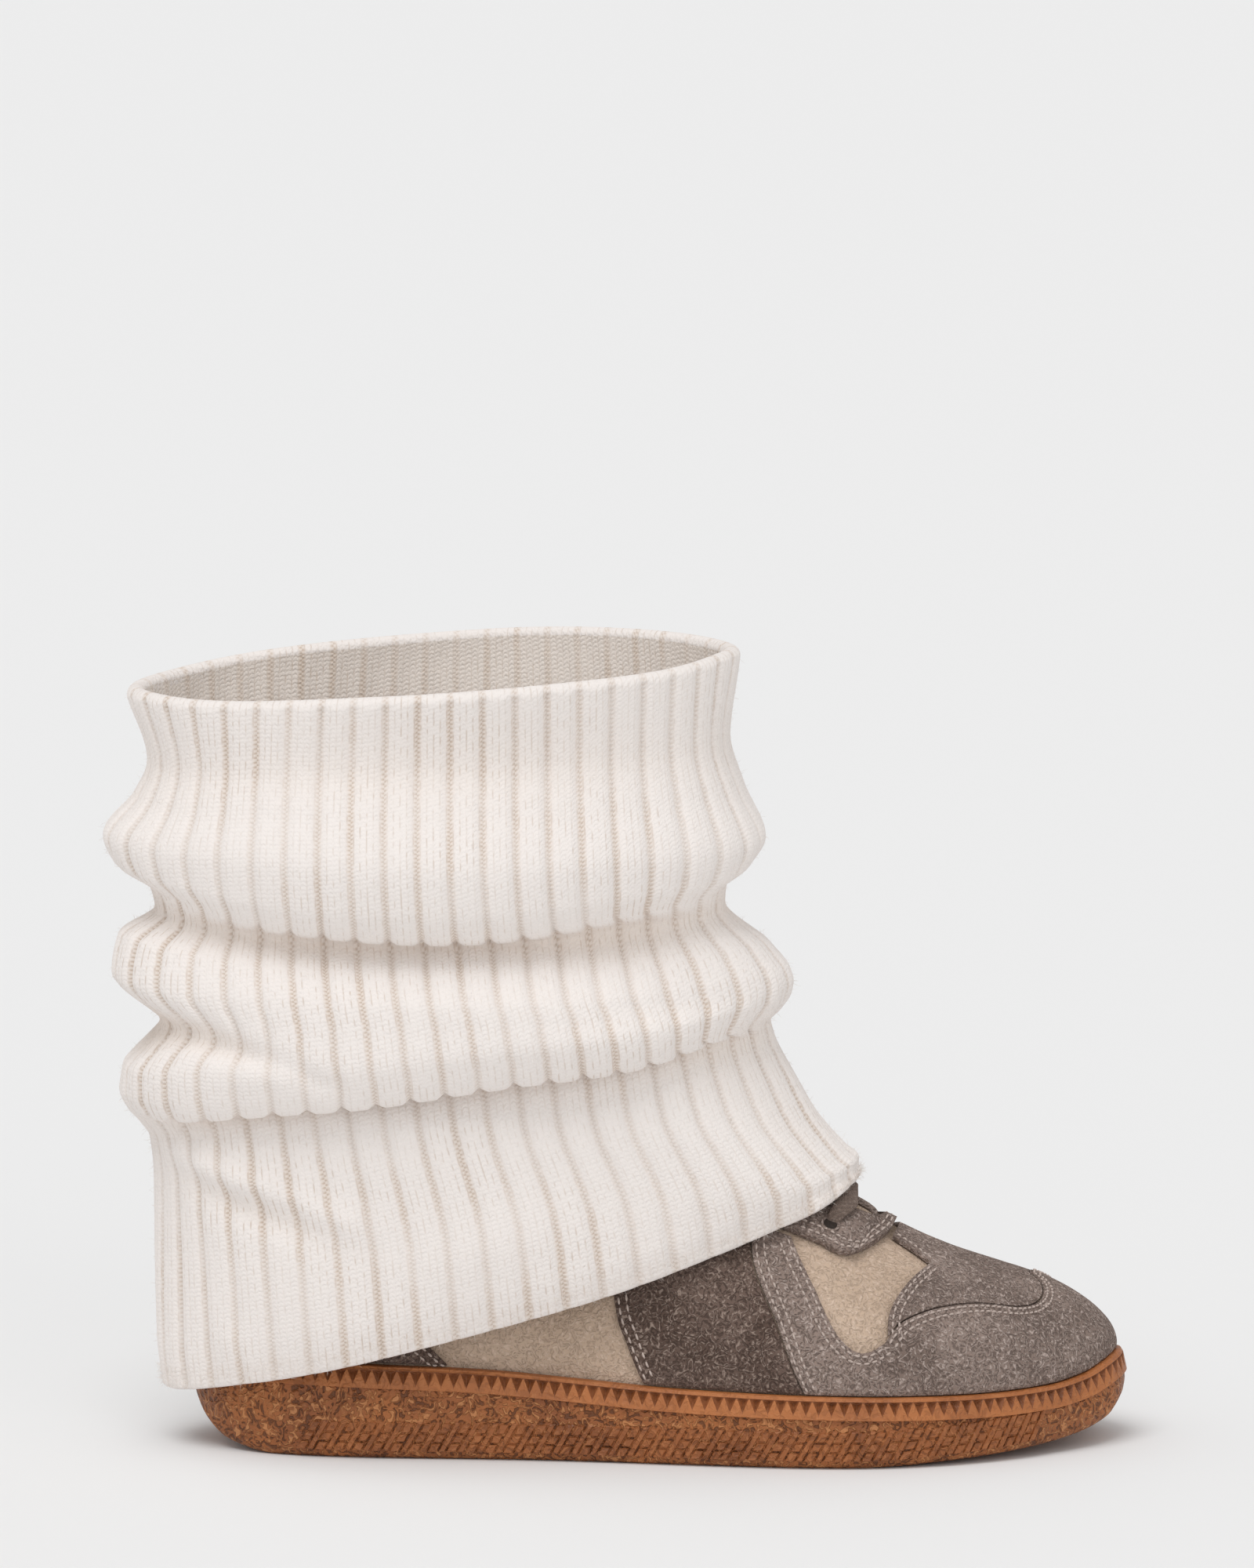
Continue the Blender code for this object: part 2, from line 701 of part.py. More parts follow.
def build_outsole(rubber, collection):
    bm = bmesh.new()
    turns = even_turns(SOLE_STEPS)
    rows = []
    for angle in (0, 35, 90):
        inset = SOLE_EDGE_RADIUS * (1 - math.sin(math.radians(angle)))
        lift = SOLE_EDGE_RADIUS * (1 - math.cos(math.radians(angle)))
        rows.append(ring(bm, turns, lambda turn: sole_point(turn, tread_height(turn) + lift, inset)))
    ladder(bm, rows[0])
    lug_low, lug_high = side_lugs(bm)
    rows.append(lug_low)
    band_foot = ring(
        bm, turns, lambda turn: sole_point(turn, rim_height(turn) - BAND_HEIGHT - BAND_LIP, 0.0)
    )
    feet, tips = tooth_band(bm)
    inner_inset = RIM_LEAN + SOLE_WALL
    rim_edge = ring(bm, turns, lambda turn: sole_point(turn, rim_height(turn), RIM_LEAN))
    rim_inside = ring(bm, turns, lambda turn: sole_point(turn, rim_height(turn), inner_inset))
    floor = ring(bm, turns, lambda turn: sole_point(turn, rim_height(turn) - CUP_DEPTH, inner_inset))
    for below, above in zip(rows, rows[1:]):
        bridge(bm, below, above)
    bridge(bm, lug_high, band_foot)
    bridge(bm, band_foot, feet)
    bridge(bm, tips, rim_edge)
    bridge(bm, rim_edge, rim_inside)
    bridge(bm, rim_inside, floor)
    ladder(bm, floor)
    bmesh.ops.recalc_face_normals(bm, faces=bm.faces[:])
    return add_piece("outsole", bm, rubber, collection)


def build_insole(cloth, collection):
    bm = bmesh.new()
    inset = UPPER_INSET + UPPER_WALL + SEAM_GAP
    loop = ring(
        bm,
        even_turns(SOLE_STEPS // 2),
        lambda turn: sole_point(turn, rim_height(turn) - CUP_DEPTH + SEAM_GAP, inset),
    )
    ladder(bm, loop)
    bm.normal_update()
    for face in bm.faces:
        if face.normal.z < 0:
            face.normal_flip()
    insole = add_piece("insole", bm, cloth, collection)
    thicken(insole, INSOLE_THICKNESS, outward=True)
    return insole


def build_upper(suede, collection):
    """The base shell: one open surface from inside the cup to the vamp's ridge, the throat and the collar."""
    bm = bmesh.new()
    shares = stations()
    turns = shares + [2.0 - share for share in reversed(shares[1:-1])]
    columns = []
    ridge = {}
    for turn in turns:
        _, share = side_and_share(turn)
        foot = skin(turn, 0.0)
        column = [bm.verts.new(foot - Vector((0, 0, CUP_DEPTH + SEAM_GAP - CLEARANCE)))]
        for k in range(RISE_STEPS + 1):
            up = k / RISE_STEPS
            key = round(share, 6)
            if k == RISE_STEPS and is_ridge(turn) and key in ridge:
                column.append(ridge[key])
                continue
            vert = bm.verts.new(skin(turn, up))
            column.append(vert)
            if k == RISE_STEPS and is_ridge(turn):
                ridge[key] = vert
        columns.append(column)
    for k, column in enumerate(columns):
        ahead = columns[(k + 1) % len(columns)]
        for row in range(RISE_STEPS + 1):
            bm.faces.new((ahead[row], column[row], column[row + 1], ahead[row + 1]))
    upper = add_piece("upper", bm, suede, collection)
    thicken(upper, UPPER_WALL, outward=False)
    return upper


def panel(name, outline, sides, thickness, step, material, collection):
    """A flat pattern piece laid over the skin: cut from its outline in the pattern, then given its thickness."""
    scale = Vector((SIDE_LENGTH, PATTERN_RISE))
    border = []
    for points in outline:
        border += stroke([(x * scale.x, y * scale.y) for x, y in points], step)
    rows = [k / RISE_STEPS for k in range(1, RISE_STEPS)]
    inside = [
        Vector((share * scale.x, up * scale.y))
        for share in stations()
        for up in rows
        if clear_inside(Vector((share * scale.x, up * scale.y)), border, PANEL_STEP * 0.4)
    ]
    ridge_start = Vector((PANEL_STEP / 2, scale.y - PANEL_STEP / 2))
    if clear_inside(ridge_start, border, PANEL_STEP * 0.3):
        inside.append(ridge_start)
    edges = [(k, (k + 1) % len(border)) for k in range(len(border))]
    cut = delaunay_2d_cdt([Vector(p[:2]) for p in border] + inside, edges, [], 1, 1e-7)
    bm = bmesh.new()
    for side in sides:
        verts = []
        for spot in cut[0]:
            share = min(max(spot.x / scale.x, 0.0), 1.0)
            up = min(max(spot.y / scale.y, 0.0), 1.0)
            verts.append(bm.verts.new(skin(share if side == OUTER else 2.0 - share, up, SEAM_GAP)))
        for face in cut[2]:
            corners = [verts[k] for k in face]
            bm.faces.new(corners if side == OUTER else reversed(corners))
    bmesh.ops.remove_doubles(bm, verts=bm.verts[:], dist=0.00002)
    bm.normal_update()
    middle = Vector((SOLE_LENGTH * 0.4 - HEEL_SEAT, 0.0, RIM_HEIGHT * 0.5))
    outward = sum(face.normal.dot(face.calc_center_median() - middle) for face in bm.faces)
    if outward < 0:
        bmesh.ops.reverse_faces(bm, faces=bm.faces[:])
    piece = add_piece(name, bm, material, collection)
    thicken(piece, thickness, outward=True).use_even_offset = False
    return piece


def clear_inside(spot, border, margin):
    """Whether a pattern point lies inside an outline, and a margin away from it."""
    inside = False
    for k, start in enumerate(border):
        end = border[(k + 1) % len(border)]
        if (start.y > spot.y) != (end.y > spot.y):
            if spot.x < start.x + (spot.y - start.y) * (end.x - start.x) / (end.y - start.y):
                inside = not inside
        along = end - start
        share = min(max((spot - start).dot(along) / max(along.length_squared, 1e-12), 0.0), 1.0)
        if (start + along * share - spot).length < margin:
            return False
    return inside


def over_instep(share, across, lift):
    """A point over the vamp or the throat, an arc length to one side of its middle, on the skin or its bridge."""
    side = OUTER if across < 0 else INNER
    turn = share if side == OUTER else 2.0 - share
    points = section(turn)
    top = points[3]
    width = abs(top.y)
    run = abs(across)
    if run <= width:
        fall = (top.z - points[2].z) / max(abs(points[2].y - top.y), 1e-6)
        crown = width * fall / 2 * (1 - (run / max(width, 1e-9)) ** 2)
        normal = skin_normal(turn, 1.0)
        centre = Vector((normal.x, 0.0, normal.z)).normalized()
        mixed = centre.lerp(normal, run / max(width, 1e-9)).normalized()
        return Vector((top.x, side * run, top.z + crown)) + mixed * lift
    rest = run - width
    up = 1.0
    place = top
    while rest > 0 and up > 0.3:
        up -= 0.01
        after = on_section(points, up)
        rest -= (after - place).length
        place = after
    return place + skin_normal(turn, up) * lift


def build_tongue(suede, collection):
    """The tongue, from under the vamp up through the throat and out above the collar."""
    bm = bmesh.new()
    shares = np.linspace(VAMP_END_SHARE - TONGUE_TUCK, THROAT_TOP_SHARE, TONGUE_ROWS + 1)
    columns = range(-TONGUE_HALF_STEPS, TONGUE_HALF_STEPS + 1)
    lift = -(UPPER_WALL + SEAM_GAP + TONGUE_SLACK)
    rows = []
    for number, share in enumerate(shares):
        widening = min(2 * number / TONGUE_ROWS, 1.0)
        half = TONGUE_WIDTH / 2 * (TONGUE_FOOT + (1 - TONGUE_FOOT) * widening)
        rows.append([over_instep(share, half * k / TONGUE_HALF_STEPS, lift) for k in columns])
    top = rows[-1]
    climb = (top[TONGUE_HALF_STEPS] - rows[-3][TONGUE_HALF_STEPS]).normalized()
    for step in (1, 2):
        rows.append([point + climb * TONGUE_RISE / 2 * step for point in top])
    grid = [[bm.verts.new(point) for point in row] for row in rows]
    for low, high in zip(grid, grid[1:]):
        for k in range(len(columns) - 1):
            bm.faces.new((low[k], high[k], high[k + 1], low[k + 1]))
    bm.normal_update()
    if sum(face.normal.z for face in bm.faces) < 0:
        bmesh.ops.reverse_faces(bm, faces=bm.faces[:])
    tongue = add_piece("tongue", bm, suede, collection)
    thicken(tongue, TONGUE_THICKNESS, outward=False)
    return tongue


def build_lace_bars(cord, collection):
    """The flat lace's bars, which lie across the throat from eyestay to eyestay."""
    half_width = LACE_WIDTH / 2 / SIDE_LENGTH
    reach = THROAT_WIDTH / 2 + EYELET_EDGE
    lift = SEAM_GAP + EYESTAY_THICKNESS + SEAM_GAP
    for number in range(LACE_BARS):
        share = FIRST_EYELET_SHARE + number * LACE_PITCH / SIDE_LENGTH
        bm = bmesh.new()
        rows = []
        for shift in (-half_width, half_width):
            crossing = [
                over_instep(share + shift, reach * k / BAR_STEPS, lift) for k in range(-BAR_STEPS, BAR_STEPS + 1)
            ]
            rows.append([bm.verts.new(point) for point in crossing])
        for k in range(2 * BAR_STEPS):
            bm.faces.new((rows[0][k], rows[1][k], rows[1][k + 1], rows[0][k + 1]))
        bm.normal_update()
        if sum(face.normal.z for face in bm.faces) < 0:
            bmesh.ops.reverse_faces(bm, faces=bm.faces[:])
        bar = add_piece(f"lace_bar_{number + 1}", bm, cord, collection)
        thicken(bar, LACE_THICKNESS, outward=True)


def shaft_point(place, angle):
    """A point on the knitted shaft's outer face: its ring from the hem (0) to the top (1), and the angle round
    it from the back, over the outer side first."""

    def length(column):
        return SHAFT_RINGS(column, place) * SHAFT_LENGTH

    loose = min(place / HEM_SHARE, 1.0)
    tall = loose * SHAFT_HEIGHT + (1 - loose) * INSTEP_HEIGHT * HEM_RISE_RATIO

    def height(column):
        return SHAFT_RINGS(column, place) * tall

    back = Vector((length("back"), 0.0, height("back_height")))
    front = Vector((length("front"), 0.0, height("front_height")))
    across = math.sin(angle)
    round_share = abs(across) ** (2 / FULLNESS_RATIO)
    swing = math.copysign(abs(math.cos(angle)) ** (2 / FULLNESS_RATIO), math.cos(angle))
    side, sign = ("outer", -1) if across > 0 else ("inner", 1)
    middle = (back + front) / 2
    point = middle - (front - back) / 2 * swing
    point.y = sign * SHAFT_RINGS(side, place) * SHAFT_WIDTH * round_share
    point.z -= SHAFT_RINGS(side + "_droop", place) * SHAFT_WIDTH * round_share**2
    return point


def add_grid(faces, first, rows, columns, closed):
    """Faces between rows of points numbered from the first, joined round to the first row when closed."""
    for row in range(rows if closed else rows - 1):
        for k in range(columns - 1):
            here = first + row * columns + k
            ahead = first + (row + 1) % rows * columns + k
            faces.append((ahead, here, here + 1, ahead + 1))


def skin_guide(lift):
    """The upper's skin raised to clear the eyestay, the throat raised to clear the lace, and the sole's outline."""
    faces = []
    lace_top = lift + SEAM_GAP + LACE_THICKNESS
    reach = THROAT_WIDTH / 2 + EYELET_EDGE
    shares = np.linspace(VAMP_END_SHARE, THROAT_TOP_SHARE, 2 * BAR_STEPS + 1)
    verts = [
        over_instep(share, reach * k / BAR_STEPS, lace_top)
        for share in shares
        for k in range(BAR_STEPS, -BAR_STEPS - 1, -1)
    ]
    add_grid(faces, 0, len(shares), 2 * BAR_STEPS + 1, closed=False)
    turns = even_turns(GUIDE_STEPS)
    ups = np.linspace(0, 1, 2 * RISE_STEPS + 1)
    add_grid(faces, len(verts), GUIDE_STEPS, len(ups), closed=True)
    verts += [skin(turn, up, lift) for turn in turns for up in ups]
    add_grid(faces, len(verts), GUIDE_STEPS, 3, closed=True)
    for turn in turns:
        rim = rim_height(turn)
        verts.append(sole_point(turn, 0.0, -TOOTH_RELIEF))
        verts.append(sole_point(turn, rim, -TOOTH_RELIEF))
        verts.append(skin(turn, 0.0, lift))
    return BVHTree.FromPolygons(verts, faces)


def held_off(point, guide, stand_off):
    """The point moved out sideways, and then off the surface, until it clears the boot by the stand-off."""
    side = -1 if point.y < 0 else 1
    start = Vector((point.x, side * BALL_WIDTH, point.z))
    hit = guide.ray_cast(start, Vector((0, -side, 0)))[0]
    if hit is not None and side * (point.y - hit.y) < stand_off and abs(point.y) > 1e-6:
        point = Vector((point.x, hit.y + side * stand_off, point.z))
    near, normal, _, distance = guide.find_nearest(point)
    over, over_normal, _, _ = guide.ray_cast(point, Vector((0, 0, 1)))
    if over is not None and over_normal.z > 0:
        return near + normal * stand_off
    if distance < stand_off:
        point = near + (point - near) * stand_off / distance
    return point


def build_shaft(knit, collection):
    """The knitted tube, slouched in folds, its hem close over the instep and loose round the heel."""
    guide = skin_guide(SEAM_GAP + EYESTAY_THICKNESS)
    stand_off = KNIT_THICKNESS + SEAM_GAP + KNIT_SLACK
    bm = bmesh.new()
    wall = bm.verts.layers.deform.verify()
    rows = []
    for row in range(SHAFT_ROWS):
        place = row / (SHAFT_ROWS - 1)
        verts = []
        for step in range(SHAFT_STEPS):
            turned = 2 * math.pi * step / SHAFT_STEPS
            angle = turned + FRONT_BIAS_RATIO * math.sin(turned)
            point = shaft_point(place, angle)
            vert = bm.verts.new(held_off(point, guide, stand_off))
            vert[wall][0] = 1.0 if row == SHAFT_ROWS - 1 else KNIT_THICKNESS / KNIT_EDGE
            verts.append(vert)
        rows.append(verts)
    for low, high in zip(rows, rows[1:]):
        for k in range(SHAFT_STEPS):
            ahead = (k + 1) % SHAFT_STEPS
            bm.faces.new((low[k], low[ahead], high[ahead], high[k]))
    shaft = add_piece("knit_shaft", bm, knit, collection, sharp_angle=180)
    shaft.vertex_groups.new(name="wall")
    modifier = thicken(shaft, KNIT_EDGE, outward=False)
    modifier.vertex_group = "wall"
    modifier.use_even_offset = False
    return shaft


def main():
    for leftover in list(bpy.data.objects):
        bpy.data.objects.remove(leftover)
    boot = new_collection("sweater_boot")
    rubber = finish("gum rubber", (0.42, 0.19, 0.075), 0.62)
    base_suede = finish("sand suede", (0.62, 0.50, 0.40), 0.9)
    sock_cloth = finish("insole cloth", (0.60, 0.52, 0.44), 0.95)
    build_outsole(rubber, boot)
    build_insole(sock_cloth, boot)
    build_upper(base_suede, boot)
    taupe_suede = finish("taupe suede", (0.30, 0.235, 0.20), 0.9)
    cord = finish("flat lace", (0.30, 0.235, 0.20), 0.85)
    knit = finish("cream rib knit", (0.86, 0.81, 0.76), 0.95)
    for name, outline, sides, thickness, step in PANELS:
        panel(name, outline, sides, thickness, step, taupe_suede, boot)
    build_tongue(base_suede, boot)
    build_lace_bars(cord, boot)
    build_shaft(knit, boot)


main()
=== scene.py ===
import math

import bmesh
import bpy
import numpy as np
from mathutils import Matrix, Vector
from mathutils.bvhtree import BVHTree
from mathutils.geometry import delaunay_2d_cdt


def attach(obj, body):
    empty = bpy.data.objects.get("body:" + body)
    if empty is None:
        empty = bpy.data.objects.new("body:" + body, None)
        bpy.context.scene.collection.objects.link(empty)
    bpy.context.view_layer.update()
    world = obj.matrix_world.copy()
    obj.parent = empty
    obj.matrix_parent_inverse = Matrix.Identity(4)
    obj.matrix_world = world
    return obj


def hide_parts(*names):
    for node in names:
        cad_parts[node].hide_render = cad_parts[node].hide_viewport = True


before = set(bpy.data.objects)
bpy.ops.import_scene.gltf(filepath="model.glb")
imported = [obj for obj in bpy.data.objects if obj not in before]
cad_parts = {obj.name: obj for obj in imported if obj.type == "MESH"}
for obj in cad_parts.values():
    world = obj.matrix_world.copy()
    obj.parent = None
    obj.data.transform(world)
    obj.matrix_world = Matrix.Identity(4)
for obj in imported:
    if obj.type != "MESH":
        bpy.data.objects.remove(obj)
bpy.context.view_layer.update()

# Sole sizes
SOLE_LENGTH = 0.268
BALL_WIDTH = 0.098
HEEL_SEAT = 0.040
RIM_HEIGHT = 0.028
HEEL_SPRING = 0.0125
TOE_SPRING = 0.012
ARCH_LIFT = 0.0015
CUP_DEPTH = 0.007
SOLE_WALL = 0.0024
RIM_LEAN = 0.0012
SOLE_EDGE_RADIUS = 0.003
BAND_HEIGHT = 0.0057
BAND_LIP = 0.0008
TOOTH_PITCH = 0.0036
TOOTH_RELIEF = 0.0007
LUG_FOOT = 0.0002
LUG_HEIGHT = 0.0078
LUG_PITCH = 0.0054
LUG_WIDTH = 0.0017
LUG_RELIEF = 0.0008
BLOCK_RELIEF = LUG_RELIEF * 0.85
LUG_SLANT = 0.0050
LUG_REACH = (0.135, 0.845)
LUG_GAP = 0.00055
BLOCK_REACHES = ((0.0, 0.27), (0.33, 0.58), (0.64, 0.96))

# Upper sizes
INSTEP_HEIGHT = 0.100
THROAT_WIDTH = 0.028
COLLAR_WIDTH = 0.062
UPPER_WALL = 0.002
PANEL_THICKNESS = 0.0012
TOE_PANEL_THICKNESS = 0.0015
EYESTAY_THICKNESS = 0.0022
TONGUE_WIDTH = 0.046
TONGUE_THICKNESS = 0.003
TONGUE_RISE = 0.022
TONGUE_LENGTH = 0.100
LACE_WIDTH = 0.006
LACE_THICKNESS = 0.0014
LACE_PITCH = 0.017
EYELET_EDGE = 0.008
FIRST_EYELET = 0.400
LACE_BARS = 4
HOLE_RADIUS = 0.0022
RING_RADIUS = 0.0025
RING_THICKNESS = 0.0005
THREAD_PITCH = 0.0024
THREAD_RADIUS = 0.00034
STITCH_SHARE = 0.68

# Knitted shaft sizes
SHAFT_HEIGHT = 0.2275
SHAFT_LENGTH = 0.1752
SHAFT_WIDTH = 0.104
SHAFT_FULLNESS = 2.15
KNIT_THICKNESS = 0.003
KNIT_EDGE = 0.0054
KNIT_SLACK = 0.0006
RIBS = 46
RIB_RELIEF = 0.0014
STITCH_HEIGHT = 0.0013
CREASE_DEPTH = 0.0045
CREASE_SPAN = 160
KNIT_ROWS = 236
LUMP_WAVES = 14
LUMP_HEIGHTS = (0.00012, 0.00034)
HAIR_COUNT = 10000
HEM_HAIR_ROWS = 5
HAIR_LENGTHS = (0.0012, 0.0034)
HAIR_WIDTH = 0.00007

SEAM_GAP = 0.0006
UPPER_INSET = RIM_LEAN + SOLE_WALL + SEAM_GAP
PATTERN_RISE = 0.060
VAMP_END = 0.345
THROAT_TOP = 0.655
OUTER = -1
INNER = 1

# The sole seen from above, from the toe tip round the outer side and back along the inner side:
# share of the sole's length, share of the ball's width
SOLE_OUTLINE = (
    (1.000, 0.045),
    (0.985, -0.085),
    (0.945, -0.215),
    (0.880, -0.355),
    (0.800, -0.465),
    (0.710, -0.515),
    (0.610, -0.498),
    (0.500, -0.445),
    (0.390, -0.392),
    (0.270, -0.360),
    (0.160, -0.330),
    (0.070, -0.258),
    (0.018, -0.142),
    (0.000, 0.000),
    (0.018, 0.142),
    (0.070, 0.252),
    (0.160, 0.315),
    (0.270, 0.325),
    (0.390, 0.318),
    (0.500, 0.350),
    (0.610, 0.412),
    (0.710, 0.462),
    (0.800, 0.478),
    (0.880, 0.430),
    (0.945, 0.322),
    (0.985, 0.190),
)
HEEL_ROW = 13


class Table:
    """Rows of shares under named columns, read by the first column along curves that never overshoot."""

    def __init__(self, columns, rows):
        self.values = dict(zip(columns, np.array(rows, dtype=float).T))
        self.places = self.values[columns[0]]
        self.slopes = {name: self.gentle_slopes(values) for name, values in self.values.items()}

    def gentle_slopes(self, values):
        """The slope at each row: level at a peak or dip, else the harmonic mean of the slopes beside it."""
        steps = np.diff(values) / np.diff(self.places)
        slopes = np.zeros(len(values))
        slopes[0] = steps[0]
        slopes[-1] = steps[-1]
        before = steps[:-1]
        after = steps[1:]
        rising = before * after > 0
        total = np.where(rising, before + after, 1.0)
        slopes[1:-1] = np.where(rising, 2 * before * after / total, 0.0)
        return slopes

    def __call__(self, column, at):
        at = np.clip(np.asarray(at, dtype=float), self.places[0], self.places[-1])
        values = self.values[column]
        slopes = self.slopes[column]
        row = np.clip(np.searchsorted(self.places, at) - 1, 0, len(values) - 2)
        span = self.places[row + 1] - self.places[row]
        share = (at - self.places[row]) / span
        rest = 1.0 - share
        return (
            values[row] * rest * rest * (1 + 2 * share)
            + slopes[row] * span * rest * rest * share
            + values[row + 1] * share * share * (3 - 2 * share)
            - slopes[row + 1] * span * share * share * rest
        )


SOLE_LEVELS = Table(
    ("along", "rim", "heel_lift", "arch_lift", "toe_lift"),
    (
        (0.000, 1.00, 1.00, 0.0, 0.00),
        (0.012, 1.00, 0.56, 0.0, 0.00),
        (0.035, 1.00, 0.20, 0.0, 0.00),
        (0.085, 0.99, 0.00, 0.0, 0.00),
        (0.200, 0.96, 0.00, 0.0, 0.00),
        (0.300, 0.93, 0.00, 0.3, 0.00),
        (0.400, 0.86, 0.00, 1.0, 0.00),
        (0.500, 0.79, 0.00, 0.5, 0.00),
        (0.600, 0.755, 0.00, 0.0, 0.00),
        (0.720, 0.73, 0.00, 0.0, 0.00),
        (0.790, 0.715, 0.00, 0.0, 0.07),
        (0.870, 0.70, 0.00, 0.0, 0.17),
        (0.920, 0.71, 0.00, 0.0, 0.27),
        (0.960, 0.77, 0.00, 0.0, 0.42),
        (0.985, 0.86, 0.00, 0.0, 0.62),
        (1.000, 0.92, 0.00, 0.0, 1.00),
    ),
)

# The upper's sections, from the toe (0) to the heel (1). Along, height and the two spreads place the top
# of the section, on the vamp's ridge, the throat or the collar; rise and flare shape its lower end, reach
# and drop its upper end.
UPPER_SECTIONS = Table(
    ("around", "along", "height", "throat", "collar", "rise", "flare", "reach", "drop"),
    (
        (0.000, 0.865, 0.495, 0.00, 0.00, 0.32, 0.014, 0.53, 0.19),
        (0.100, 0.853, 0.508, 0.00, 0.00, 0.33, 0.020, 0.60, 0.17),
        (0.200, 0.825, 0.534, 0.00, 0.00, 0.34, 0.026, 0.72, 0.14),
        (0.280, 0.784, 0.578, 0.00, 0.00, 0.35, 0.030, 0.80, 0.13),
        (0.345, 0.735, 0.640, 0.00, 0.00, 0.35, 0.030, 0.80, 0.15),
        (0.365, 0.724, 0.652, 0.50, 0.00, 0.35, 0.030, 0.77, 0.17),
        (0.390, 0.705, 0.672, 0.80, 0.00, 0.35, 0.030, 0.74, 0.20),
        (0.430, 0.665, 0.718, 0.90, 0.00, 0.35, 0.030, 0.70, 0.24),
        (0.500, 0.600, 0.800, 0.94, 0.00, 0.36, 0.026, 0.66, 0.20),
        (0.600, 0.500, 0.925, 1.00, 0.00, 0.37, 0.018, 0.60, 0.19),
        (0.655, 0.438, 1.000, 1.20, 0.00, 0.37, 0.014, 0.56, 0.20),
        (0.700, 0.380, 0.930, 0.00, 0.78, 0.36, 0.012, 0.26, 0.34),
        (0.780, 0.280, 0.755, 0.00, 0.98, 0.35, 0.014, 0.12, 0.36),
        (0.850, 0.180, 0.725, 0.00, 0.96, 0.35, 0.020, 0.06, 0.38),
        (0.930, 0.072, 0.800, 0.00, 0.66, 0.35, 0.028, 0.02, 0.38),
        (1.000, 0.022, 0.870, 0.00, 0.00, 0.35, 0.034, 0.00, 0.38),
    ),
)

# The pattern pieces, drawn on one side of the upper: share of the way from toe to heel, share of the rise
# from the sole's rim to the top edge. Strokes are smooth and meet at corners; a piece on both sides is
# mirrored and joined where it meets the toe, the ridge or the heel.
TOE_PANEL = (
    ((0.000, 0.0), (0.378, 0.0)),
    ((0.378, 0.0), (0.410, 0.35), (0.452, 0.62), (0.468, 0.765)),
    ((0.468, 0.765), (0.428, 0.775)),
    ((0.428, 0.775), (0.385, 0.555), (0.348, 0.31), (0.325, 0.245), (0.305, 0.31)),
    (
        (0.305, 0.31),
        (0.288, 0.44),
        (0.250, 0.54),
        (0.200, 0.585),
        (0.140, 0.565),
        (0.100, 0.595),
        (0.060, 0.695),
        (0.030, 0.815),
        (0.000, 0.83),
    ),
    ((0.000, 0.83), (0.000, 0.0)),
)
VAMP_PANEL = (
    (
        (0.000, 0.838),
        (0.031, 0.823),
        (0.062, 0.703),
        (0.101, 0.603),
        (0.140, 0.573),
        (0.200, 0.593),
        (0.251, 0.548),
        (0.289, 0.446),
        (0.302, 0.350),
    ),
    ((0.302, 0.350), (0.302, 0.50), (0.287, 0.67), (0.264, 0.815)),
    ((0.264, 0.815), (0.290, 0.865), (0.318, 0.90)),
    ((0.318, 0.90), (0.318, 1.00)),
    ((0.318, 1.00), (0.000, 1.00)),
    ((0.000, 1.00), (0.000, 0.838)),
)
EYESTAY = (
    ((0.324, 1.00), (0.326, 0.90), (0.345, 0.775), (0.372, 0.75), (0.400, 0.785), (0.430, 0.80)),
    ((0.430, 0.80), (0.520, 0.80), (0.640, 0.80)),
    ((0.640, 0.80), (0.645, 1.00)),
    ((0.645, 1.00), (0.345, 1.00)),
    ((0.345, 1.00), (0.324, 1.00)),
)
QUARTER = (
    ((0.379, 0.0), (0.530, 0.0)),
    ((0.530, 0.0), (0.547, 0.15), (0.565, 0.30), (0.600, 0.765)),
    ((0.600, 0.765), (0.4695, 0.765)),
    ((0.4695, 0.765), (0.4535, 0.62), (0.4115, 0.35), (0.379, 0.0)),
)
COUNTER = (
    ((0.712, 0.0), (1.000, 0.0)),
    ((1.000, 0.0), (1.000, 0.60)),
    ((1.000, 0.60), (0.900, 0.58), (0.820, 0.45), (0.712, 0.0)),
)

